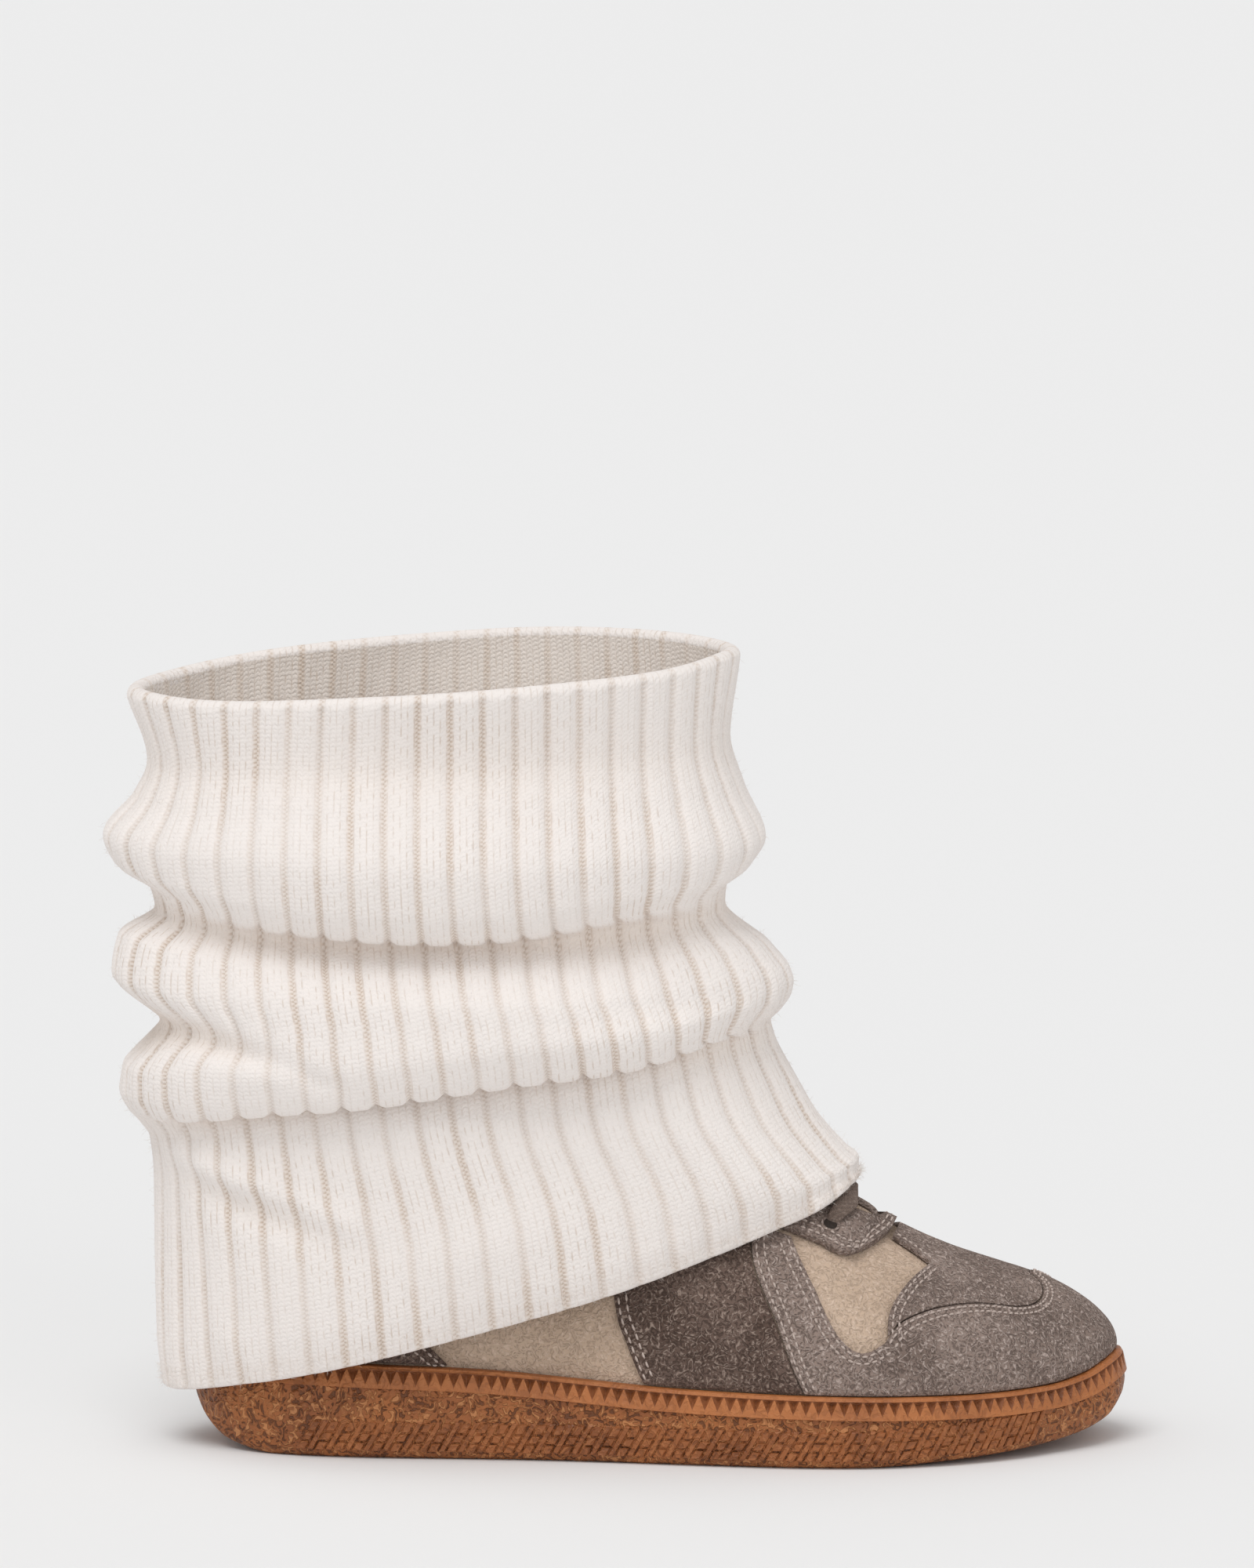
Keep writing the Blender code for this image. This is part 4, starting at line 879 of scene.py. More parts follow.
def grid_faces(rows, columns, closed=True, first=0):
    """Quads over a grid of points numbered row by row; closed joins the last column to the first."""
    across = columns if closed else columns - 1
    row, column = np.meshgrid(np.arange(rows - 1), np.arange(across), indexing="ij")
    ahead = (column + 1) % columns
    low = first + row * columns
    high = low + columns
    return np.stack([low + column, low + ahead, high + ahead, high + column], axis=-1).reshape(-1, 4)


def ring(bm, turns, height, inset):
    """One loop of points round the sole, each with its turn."""
    points = sole_points(turns, height, inset)
    return [(float(turn), bm.verts.new(point)) for turn, point in zip(turns, points)]


def bridge(bm, lower, upper):
    """Triangles between two loops round the boot, which may differ in how many points they have."""

    def turn_of(loop, k):
        return loop[k % len(loop)][0] + 2.0 * (k // len(loop))

    i = 0
    j = 0
    while i < len(lower) or j < len(upper):
        here = lower[i % len(lower)][1]
        over = upper[j % len(upper)][1]
        if j >= len(upper) or (i < len(lower) and turn_of(lower, i + 1) <= turn_of(upper, j + 1)):
            i += 1
            bm.faces.new((here, lower[i % len(lower)][1], over))
        else:
            j += 1
            bm.faces.new((here, upper[j % len(upper)][1], over))


def ladder(bm, loop):
    """Close an even loop, which starts at the toe, with rungs from its outer to its inner side."""
    count = len(loop)
    for k in range(count // 2):
        rung = [loop[k][1], loop[k + 1][1], loop[(count - k - 1) % count][1], loop[(count - k) % count][1]]
        corners = [v for n, v in enumerate(rung) if v not in rung[:n]]
        bm.faces.new(corners)


def make_outsole():
    """The cup sole: tread, rounded foot, crumbled wall, toothed band and the rim round the upper."""
    steps = 420
    turns = np.arange(steps) * 2.0 / steps
    tread = tread_height(turns)
    rim = rim_height(turns)
    body = bmesh.new()
    loops = []
    for angle in (0, 20, 45, 70, 90):
        inset = SOLE_EDGE_RADIUS * (1 - math.sin(math.radians(angle)))
        lift = SOLE_EDGE_RADIUS * (1 - math.cos(math.radians(angle)))
        loops.append(ring(body, turns, tread + lift, inset))
    ladder(body, loops[0])
    for share in (0.25, 0.5, 0.75, 1.0):
        low = tread + SOLE_EDGE_RADIUS
        high = rim - BAND_HEIGHT - BAND_LIP
        loops.append(ring(body, turns, low + (high - low) * share, -0.0003 * math.sin(math.pi * share)))
    loops.append(ring(body, turns, rim - BAND_HEIGHT - BAND_LIP * 0.6, 0.0009))
    floor = ring(body, turns, rim - CUP_DEPTH, RIM_LEAN + SOLE_WALL)
    loops.append(ring(body, turns, rim - BAND_HEIGHT, RIM_LEAN + SOLE_WALL * 0.6))
    loops.append(floor)
    for below, above in zip(loops, loops[1:]):
        bridge(body, below, above)
    ladder(body, floor)
    bmesh.ops.recalc_face_normals(body, faces=body.faces[:])
    put_bmesh("outsole_body", body, GUM, ("outsole",), 40)
    make_toothed_band()
    make_side_treads()


def make_toothed_band():
    """Pointed teeth on the band below the rim, sunk triangles between them in painted shade, a lip and the
    rim.
    """
    teeth = 2 * round(SIDE_LENGTH / TOOTH_PITCH)
    pitch = 2.0 / teeth
    band = bmesh.new()
    at_feet = pitch * np.arange(teeth)
    at_tips = at_feet + pitch / 2
    fine = np.arange(teeth * 2) * pitch / 2
    lip_low = ring(band, fine, rim_height(fine) - BAND_HEIGHT - BAND_LIP * 0.9, 0.0012)
    lip = ring(band, fine, rim_height(fine) - BAND_HEIGHT - BAND_LIP * 0.8, -TOOTH_RELIEF - 0.0002)
    feet = ring(band, at_feet, rim_height(at_feet) - BAND_HEIGHT + 0.0003, -TOOTH_RELIEF)
    tips = ring(band, at_tips, rim_height(at_tips) - BAND_LIP * 1.4, RIM_LEAN * 0.75 - TOOTH_RELIEF)
    sunk_height = rim_height(at_feet) - BAND_HEIGHT * 0.36
    sunk = ring(band, at_feet, sunk_height, RIM_LEAN * 0.8 + 0.0007)
    for k in range(teeth):
        foot = feet[k][1]
        tip_behind = tips[k - 1][1]
        tip_ahead = tips[k][1]
        band.faces.new((foot, feet[(k + 1) % teeth][1], tip_ahead))
        # The sunk triangles take the second material, darker rubber that paints their shade.
        for corners in ((foot, tip_ahead), (tip_ahead, tip_behind), (tip_behind, foot)):
            hollow = band.faces.new((*corners, sunk[k][1]))
            hollow.material_index = 1
    edge_low = ring(band, fine, rim_height(fine) - BAND_LIP * 0.9, RIM_LEAN - 0.0006)
    edge = ring(band, fine, rim_height(fine) - BAND_LIP * 0.25, RIM_LEAN - 0.0004)
    crown = ring(band, fine, rim_height(fine), RIM_LEAN + 0.0004)
    inside = ring(band, fine, rim_height(fine), RIM_LEAN + SOLE_WALL)
    deep = ring(band, fine, rim_height(fine) - CUP_DEPTH, RIM_LEAN + SOLE_WALL)
    bridge(band, lip_low, lip)
    bridge(band, lip, feet)
    bridge(band, tips, edge_low)
    for below, above in zip((edge_low, edge, crown, inside), (edge, crown, inside, deep)):
        bridge(band, below, above)
    bmesh.ops.recalc_face_normals(band, faces=band.faces[:])
    piece = put_bmesh("toothed_band", band, SMOOTH_GUM, ("outsole",), 20)
    piece.data.materials.append(HOLLOW_SHADE_GUM)
    round_edges(piece, 0.00012, 30, 1)


def make_side_treads():
    """Slanted bars round the lower wall, and between them slanted columns of three small blocks."""
    verts = []
    faces = []
    pitch = LUG_PITCH / SIDE_LENGTH
    slant = LUG_SLANT / SIDE_LENGTH
    first, last = LUG_REACH
    block_width = (LUG_PITCH - LUG_WIDTH - 2 * LUG_GAP) / SIDE_LENGTH
    low_foot = SOLE_EDGE_RADIUS + LUG_FOOT - 0.0008
    tall = LUG_HEIGHT + 0.0008

    def raised(start, width, low, high, relief):
        """One block between two shares of the belt's height, leaning with the slant, with bevelled sides."""
        for spread, inset in ((0.0, 0.0006), (0.0, -relief * 0.6), (0.22, -relief)):
            for share, across in ((low, 0), (low, 1), (high, 1), (high, 0)):
                middle = (low + high) / 2
                at = share + (middle - share) * spread * 0.5
                shift = width * (across + (0.5 - across) * spread)
                turn = start + slant * (1 - at) + shift
                turns.append(turn)
                rises.append(low_foot + tall * at)
                insets.append(inset)
        base = len(turns) - 12
        for tier in (0, 4):
            for k in range(4):
                ahead = (k + 1) % 4
                low_loop = base + tier
                faces.append((low_loop + k, low_loop + ahead, low_loop + 4 + ahead, low_loop + 4 + k))
        faces.append((base + 8, base + 9, base + 10, base + 11))

    for mirrored in (False, True):
        turns = []
        rises = []
        insets = []
        kept = len(faces)
        for k in range(int((last - first) / pitch)):
            start = first + k * pitch
            raised(start, LUG_WIDTH / SIDE_LENGTH, 0.0, 1.0, LUG_RELIEF)
            beside = start + (LUG_WIDTH + LUG_GAP) / SIDE_LENGTH
            for low, high in BLOCK_REACHES:
                raised(beside, block_width, low, high, BLOCK_RELIEF)
        turns = np.array(turns)
        if mirrored:
            turns = 2.0 - turns
        points = sole_points(turns, tread_height(turns) + np.array(rises), np.array(insets))
        first_vert = len(verts)
        for n in range(kept, len(faces)):
            moved = tuple(corner + first_vert for corner in faces[n])
            faces[n] = moved[::-1] if mirrored else moved
        verts.extend(points)
    piece = put("side_treads", verts, faces, TREAD_GUM, "gum rubber", ("outsole",), sharp_angle=25)
    piece.data.update()


def mirrored_pattern_mesh(border, inside, sides, lift):
    """A flat pattern piece on the skin: its points, faces and pattern coordinates on each side."""
    edges = [(k, (k + 1) % len(border)) for k in range(len(border))]
    cut = delaunay_2d_cdt([Vector(p[:2]) for p in border] + inside, edges, [], 1, 1e-7)
    spots = np.array([spot[:] for spot in cut[0]])
    share = np.clip(spots[:, 0] / SIDE_LENGTH, 0.0, 1.0)
    up = np.clip(spots[:, 1] / PATTERN_RISE, 0.0, 1.0)
    verts = []
    faces = []
    for side in sides:
        first = len(verts)
        turn = share if side == OUTER else 2.0 - share
        verts.extend(skin(turn, up, lift))
        for face in cut[2]:
            corners = [first + k for k in face]
            faces.append(corners if side == OUTER else corners[::-1])
    return np.array(verts), faces, np.tile(spots, (len(sides), 1))


def clear_of_border(points, border, margin):
    """Which pattern points lie inside an outline and a margin away from it."""
    points = np.asarray(points)
    start = np.array([p[:2] for p in border])
    end = np.roll(start, -1, axis=0)
    inside = np.zeros(len(points), dtype=bool)
    nearest = np.full(len(points), 1e9)
    for a, b in zip(start, end):
        if a[1] != b[1]:
            crosses = (a[1] > points[:, 1]) != (b[1] > points[:, 1])
            inside ^= crosses & (points[:, 0] < a[0] + (points[:, 1] - a[1]) * (b[0] - a[0]) / (b[1] - a[1]))
        along = b - a
        share = np.clip((points - a) @ along / max(along @ along, 1e-12), 0.0, 1.0)
        nearest = np.minimum(nearest, np.linalg.norm(a + share[:, None] * along - points, axis=1))
    return inside & (nearest > margin)


def make_panel(name, outline, sides, thickness, material, node):
    """A suede piece cut from its outline and laid over the skin, with softly rounded edges."""
    step = 0.0022
    border = []
    for points in outline:
        border += stroke([(x * SIDE_LENGTH, y * PATTERN_RISE) for x, y in points], step)
    across = np.arange(step, SIDE_LENGTH, step)
    upward = np.arange(step, PATTERN_RISE, step)
    spots = np.stack(np.meshgrid(across, upward), axis=-1).reshape(-1, 2)
    inside = [Vector(p) for p in spots[clear_of_border(spots, border, step * 0.55)]]
    verts, faces, coordinates = mirrored_pattern_mesh(border, inside, sides, SEAM_GAP)
    piece = put(name, verts, faces, material, "taupe suede", (node,), coordinates)
    whole = bmesh.new()
    whole.from_mesh(piece.data)
    bmesh.ops.remove_doubles(whole, verts=whole.verts[:], dist=0.00002)
    whole.normal_update()
    middle = Vector((SOLE_LENGTH * 0.4 - HEEL_SEAT, 0.0, RIM_HEIGHT * 0.5))
    if sum(face.normal.dot(face.calc_center_median() - middle) for face in whole.faces) < 0:
        bmesh.ops.reverse_faces(whole, faces=whole.faces[:])
    whole.to_mesh(piece.data)
    whole.free()
    thicken(piece, thickness, outward=True)
    round_edges(piece, 0.00045)
    return piece


def make_upper():
    """The sand suede base with its cloth lining, one shell open at the collar, the throat and underneath."""
    shares = np.concatenate([np.linspace(0, VAMP_END, 40)[:-1], np.linspace(VAMP_END, 1, 86)])
    turns = np.concatenate([shares, 2.0 - shares[::-1][1:-1]])
    ups = np.linspace(0.0, 1.0, 30)
    rows = [skin(turns, 0.0) - np.array([0, 0, CUP_DEPTH - SEAM_GAP])]
    rows += [skin(turns, up) for up in ups]
    spread = [
        np.stack([turns * SIDE_LENGTH, np.full(len(turns), up * PATTERN_RISE)], axis=-1)
        for up in [-0.1, *ups]
    ]
    spread = np.concatenate(spread)
    verts = np.concatenate(rows)
    faces = grid_faces(len(rows), len(turns))
    piece = put("base_upper", verts, faces, SAND_SUEDE, "sand suede", ("upper",), spread, sharp_angle=60)
    piece.data.materials.append(LINING_CLOTH)
    whole = bmesh.new()
    whole.from_mesh(piece.data)
    bmesh.ops.remove_doubles(whole, verts=whole.verts[:], dist=0.00002)
    bmesh.ops.recalc_face_normals(whole, faces=whole.faces[:])
    whole.to_mesh(piece.data)
    whole.free()
    wall = thicken(piece, UPPER_WALL, outward=False)
    wall.material_offset = 1
    return piece


def make_tongue():
    rows = 36
    half_steps = 12
    lift = -(UPPER_WALL + SEAM_GAP + 0.0008)
    grid = []
    for number, share in enumerate(np.linspace(VAMP_END - 0.03, THROAT_TOP, rows)):
        half = TONGUE_WIDTH / 2 * (0.7 + 0.3 * min(2 * number / rows, 1.0))
        across = [half * k / half_steps for k in range(-half_steps, half_steps + 1)]
        grid.append([over_instep(share, out, lift) for out in across])
    climb = unit(grid[-1][half_steps] - grid[-7][half_steps])
    for step in range(1, 9):
        share = step / 8
        narrowing = 1 - 0.16 * share**4
        row = [point * np.array([1, narrowing, 1]) + climb * TONGUE_RISE * share for point in grid[rows - 1]]
        grid.append(row)
    columns = 2 * half_steps + 1
    verts = np.concatenate([np.array(row) for row in grid])
    spread = np.meshgrid(np.linspace(0, TONGUE_WIDTH, columns), np.linspace(0, TONGUE_LENGTH, len(grid)))
    spans = np.stack(spread, axis=-1)
    faces = [face[::-1] for face in grid_faces(len(grid), columns, closed=False)]
    piece = put("tongue_leaf", verts, faces, SAND_SUEDE, "sand suede", ("tongue",), spans.reshape(-1, 2))
    piece.data.materials.append(LINING_CLOTH)
    if sum(polygon.normal.z for polygon in piece.data.polygons) < 0:
        piece.data.flip_normals()
    wall = thicken(piece, TONGUE_THICKNESS, outward=False)
    wall.material_offset = 1
    round_edges(piece, 0.0009)
    return piece


def make_laces():
    """Flat woven bars across the throat, each turned down into its two eyelets."""
    lift = SEAM_GAP + EYESTAY_THICKNESS + SEAM_GAP
    reach = THROAT_WIDTH / 2 + EYELET_EDGE
    along_steps = 28
    round_steps = 14
    for number in range(LACE_BARS):
        share = FIRST_EYELET + number * LACE_PITCH / SIDE_LENGTH
        verts = []
        spans = []
        for k in range(-along_steps, along_steps + 1):
            out = abs(k) / along_steps
            sunk = max(out - 0.86, 0.0) / 0.14
            height = lift - 0.0028 * sunk**1.5
            across = reach * k / along_steps
            here = over_instep(share, across, height)
            above = unit(over_instep(share, across, height + 0.001) - here)
            ahead = over_instep(share + 0.01, across, height)
            behind = over_instep(share - 0.01, across, height)
            beside = unit(ahead - behind)
            half = LACE_WIDTH / 2 * (1 - 0.42 * min(max(out - 0.7, 0.0) / 0.3, 1.0))
            for step in range(round_steps):
                angle = 2 * math.pi * step / round_steps
                wide = math.copysign(abs(math.cos(angle)) ** 0.7, math.cos(angle))
                thick = math.copysign(abs(math.sin(angle)) ** 0.7, math.sin(angle))
                rise = (0.5 + 0.5 * thick) * LACE_THICKNESS
                verts.append(here + beside * wide * half + above * rise)
                spans.append((wide * LACE_WIDTH / 2, across))
        faces = grid_faces(2 * along_steps + 1, round_steps)
        node = f"lace_bar_{number + 1}"
        put(f"lace_{number + 1}", verts, faces, FLAT_LACE, "flat lace", (node,), spans)


def make_eyelets():
    """Punched holes in the eyestay, drawn as near-black discs of painted shade, with a pressed ring round
    each, where the lace goes in.
    """
    verts = []
    faces = []
    hole_verts = []
    hole_faces = []
    lift = SEAM_GAP + EYESTAY_THICKNESS
    steps = 20
    for number in range(LACE_BARS):
        share = FIRST_EYELET + number * LACE_PITCH / SIDE_LENGTH
        for side in (-1, 1):
            across = side * (THROAT_WIDTH / 2 + EYELET_EDGE + 0.0004)
            centre = over_instep(share, across, lift)
            above = unit(over_instep(share, across, lift + 0.001) - centre)
            beside = unit(over_instep(share + 0.01, across, lift) - centre)
            third = np.cross(above, beside)
            first = len(verts)
            for step in range(steps):
                angle = 2 * math.pi * step / steps
                out = beside * math.cos(angle) + third * math.sin(angle)
                for turn in range(6):
                    lean = 2 * math.pi * turn / 6
                    radius = RING_RADIUS + RING_THICKNESS * math.cos(lean)
                    verts.append(centre + out * radius + above * (0.00035 * math.sin(lean) + 0.0001))
            loops = grid_faces(steps, 6, first=first)
            faces.extend(loops)
            last = first + (steps - 1) * 6
            faces.extend((last + k, last + (k + 1) % 6, first + (k + 1) % 6, first + k) for k in range(6))
            # A near-black disc just above the eyestay stands for the shade inside each hole.
            start = len(hole_verts)
            for step in range(steps):
                angle = 2 * math.pi * step / steps
                out = beside * math.cos(angle) + third * math.sin(angle)
                hole_verts.append(centre + out * HOLE_RADIUS + above * 0.00012)
            hole_faces.append(list(range(start, start + steps)))
    put("eyelet_rings", verts, faces, TAUPE_SUEDE, "taupe suede")
    put("eyelet_holes", hole_verts, hole_faces, EYELET_SHADE, "taupe suede")


def stitched_run(points, inset, pitch):
    """Places of the stitches beside a drawn edge: pairs of pattern points, set in to its left."""
    line = np.array([p[:2] for p in stroke([(x * SIDE_LENGTH, y * PATTERN_RISE) for x, y in points], 0.001)])
    ends = np.array([[points[-1][0] * SIDE_LENGTH, points[-1][1] * PATTERN_RISE]])
    line = np.concatenate([line, ends])
    tangent = unit(np.gradient(line, axis=0))
    line = line + np.stack([-tangent[:, 1], tangent[:, 0]], axis=-1) * inset
    run = np.concatenate([[0], np.cumsum(np.linalg.norm(np.diff(line, axis=0), axis=1))])
    starts = np.arange(pitch * 0.3, run[-1] - pitch * 0.7, pitch)
    pairs = []
    for start in starts:
        holes = (start, start + pitch * STITCH_SHARE)
        pairs.append([[np.interp(at, run, line[:, axis]) for axis in (0, 1)] for at in holes])
    return pairs


STITCH_ROWS = (
    (TOE_PANEL[1], 0.0012, TOE_PANEL_THICKNESS),
    (TOE_PANEL[1], 0.0034, TOE_PANEL_THICKNESS),
    (TOE_PANEL[3], 0.0012, TOE_PANEL_THICKNESS),
    (TOE_PANEL[3], 0.0034, TOE_PANEL_THICKNESS),
    (TOE_PANEL[4], 0.0012, TOE_PANEL_THICKNESS),
    (TOE_PANEL[4], 0.0032, TOE_PANEL_THICKNESS),
    (VAMP_PANEL[1], 0.0012, PANEL_THICKNESS),
    (VAMP_PANEL[1], 0.0032, PANEL_THICKNESS),
    (VAMP_PANEL[2], 0.0012, PANEL_THICKNESS),
    (EYESTAY[0], 0.0014, EYESTAY_THICKNESS),
    (EYESTAY[0], 0.0034, EYESTAY_THICKNESS),
    (EYESTAY[1], 0.0014, EYESTAY_THICKNESS),
    (EYESTAY[1], 0.0034, EYESTAY_THICKNESS),
    (QUARTER[1], 0.0012, PANEL_THICKNESS),
    (QUARTER[1], 0.0034, PANEL_THICKNESS),
    (COUNTER[2], 0.0012, PANEL_THICKNESS),
    (COUNTER[2], 0.0034, PANEL_THICKNESS),
)


def make_stitching():
    """Every seam's thread as short plump stitches that dip into the suede at both ends."""
    verts = []
    faces = []
    profile = ((0.0, 0.35), (0.18, 0.85), (0.5, 1.0), (0.82, 0.85), (1.0, 0.35))
    sides = 6
    radius = THREAD_RADIUS
    for points, inset, thickness in STITCH_ROWS:
        pairs = np.array(stitched_run(points, inset, THREAD_PITCH))
        if not len(pairs):
            continue
        share = np.clip(pairs[..., 0] / SIDE_LENGTH, 0.002, 1.0)
        up = np.clip(pairs[..., 1] / PATTERN_RISE, 0.0, 0.998)
        for side in (OUTER, INNER):
            turn = share if side == OUTER else 2.0 - share
            ends = skin(turn, up, SEAM_GAP + thickness)
            normals = skin_normal(turn, up)
            for (start, end), (normal, _) in zip(ends, normals):
                along = end - start
                beside = unit(np.cross(normal, along))
                first = len(verts)
                for at, fullness in profile:
                    lift = radius * (1.1 * fullness - 0.55)
                    middle = start + along * at + normal * lift
                    for k in range(sides):
                        angle = 2 * math.pi * k / sides
                        out = beside * math.cos(angle) + normal * math.sin(angle)
                        verts.append(middle + out * radius * fullness)
                faces.extend(grid_faces(len(profile), sides, first=first))
    put("seam_stitching", verts, faces, PALE_THREAD, "taupe suede")


def shaft_points(place, angle):
    """Points on the knitted shaft's outer face: rings from hem (0) to top (1), angles from the back."""

    def size(column, unit_size):
        return SHAFT_RINGS(column, place) * unit_size

    across = np.sin(angle)
    round_share = np.abs(across) ** (2 / SHAFT_FULLNESS)
    cosine = np.cos(angle)
    swing = np.sign(cosine) * np.abs(cosine) ** (2 / SHAFT_FULLNESS)
    back = CALM_RINGS("back", place) * SHAFT_LENGTH
    front = CALM_RINGS("front", place) * SHAFT_LENGTH
    folded_back = (size("back", SHAFT_LENGTH) - back) * np.maximum(swing, 0.0) ** EDGE_SHARE
    folded_front = (size("front", SHAFT_LENGTH) - front) * np.maximum(-swing, 0.0) ** EDGE_SHARE
    back_height = size("back_height", SHAFT_HEIGHT)
    front_height = size("front_height", SHAFT_HEIGHT)
    outer = across > 0
    spread = np.where(outer, -size("outer", SHAFT_WIDTH), size("inner", SHAFT_WIDTH))
    droop = np.where(outer, size("outer_droop", SHAFT_WIDTH), size("inner_droop", SHAFT_WIDTH))
    x = (back + front) / 2 - (front - back) / 2 * swing + folded_back + folded_front
    z = (back_height + front_height) / 2 - (front_height - back_height) / 2 * swing - droop * round_share**2
    return np.stack(np.broadcast_arrays(x, spread * round_share, z), axis=-1)


def skin_guide(lift):
    """The skin raised over the eyestay, the throat raised over the lace, and the sole's outline."""
    lace_top = lift + SEAM_GAP + LACE_THICKNESS
    reach = THROAT_WIDTH / 2 + EYELET_EDGE
    verts = [
        over_instep(share, reach * k / 6, lace_top)
        for share in np.linspace(VAMP_END, THROAT_TOP, 13)
        for k in range(6, -7, -1)
    ]
    faces = [face[::-1] for face in grid_faces(13, 13, closed=False)]
    turns = np.arange(128) * 2.0 / 128
    rim = rim_height(turns)
    rows = [sole_points(turns, 0.0 * rim, -TOOTH_RELIEF), sole_points(turns, rim, -TOOTH_RELIEF)]
    rows += [skin(turns, up, lift) for up in np.linspace(0, 1, 16)]
    faces += list(grid_faces(len(rows), len(turns), first=len(verts)))
    verts += list(np.concatenate(rows))
    return BVHTree.FromPolygons([Vector(v) for v in verts], [tuple(map(int, f)) for f in faces])


def held_off(point, guide, stand_off):
    """The point moved out sideways, and then off the surface, until it clears the boot by the stand-off."""
    point = Vector(point)
    side = -1 if point.y < 0 else 1
    start = Vector((point.x, side * BALL_WIDTH, point.z))
    hit = guide.ray_cast(start, Vector((0, -side, 0)))[0]
    if hit is not None and side * (point.y - hit.y) < stand_off and abs(point.y) > 1e-6:
        point = Vector((point.x, hit.y + side * stand_off, point.z))
    near, normal, _, distance = guide.find_nearest(point)
    over, over_normal, _, _ = guide.ray_cast(point, Vector((0, 0, 1)))
    if over is not None and over_normal.z > 0:
        return near + normal * stand_off
    if distance < stand_off:
        point = near + (point - near) * stand_off / distance
    return point


def softened(field, rows, columns):
    """The field averaged with its neighbours, a number of times down the rows and round the columns."""
    for _ in range(rows):
        padded = np.concatenate([field[:1], field, field[-1:]])
        field = 0.25 * padded[:-2] + 0.5 * padded[1:-1] + 0.25 * padded[2:]
    for _ in range(columns):
        field = 0.25 * np.roll(field, 1, axis=1) + 0.5 * field + 0.25 * np.roll(field, -1, axis=1)
    return field


# Lesser folds of the shaft's outer side as the photo shows them: start and end as shares of the shaft's
# length and height, width as a share of the height, and depth in metres, raised where it is above 0
SIDE_FOLDS = (
    ((-0.270, 0.385), (-0.060, 0.335), 0.020, 0.0022),
    ((-0.060, 0.335), (0.060, 0.300), 0.022, 0.0018),
    ((-0.240, 0.350), (-0.020, 0.290), 0.022, -0.0020),
    ((-0.270, 0.545), (-0.080, 0.515), 0.016, -0.0030),
    ((-0.080, 0.515), (0.020, 0.480), 0.016, -0.0014),
    ((0.020, 0.430), (0.300, 0.440), 0.020, 0.0012),
    ((0.350, 0.560), (0.700, 0.600), 0.022, -0.0012),
    ((0.100, 0.230), (0.420, 0.330), 0.045, 0.0010),
    ((-0.200, 0.180), (-0.120, 0.100), 0.030, 0.0008),
)


def fold_lift(points):
    """How far the lesser folds raise or sink each point of the shaft's face."""
    scaled = np.stack([points[..., 0] / SHAFT_LENGTH, points[..., 2] / SHAFT_HEIGHT], axis=-1)
    lift = np.zeros(points.shape[:-1])
    facing = np.clip(0.5 + np.abs(points[..., 1]) / 0.02, 0.0, 1.0)
    for start, end, width, depth in SIDE_FOLDS:
        start = np.array(start)
        along = np.array(end) - start
        share = np.clip((scaled - start) @ along / (along @ along), 0.0, 1.0)
        away = np.linalg.norm(start + share[..., None] * along - scaled, axis=-1)
        fading = np.sin(np.pi * np.clip(share * 0.8 + 0.1, 0.0, 1.0))
        lift += depth * facing * fading * np.exp(-((away / width) ** 2))
    return lift


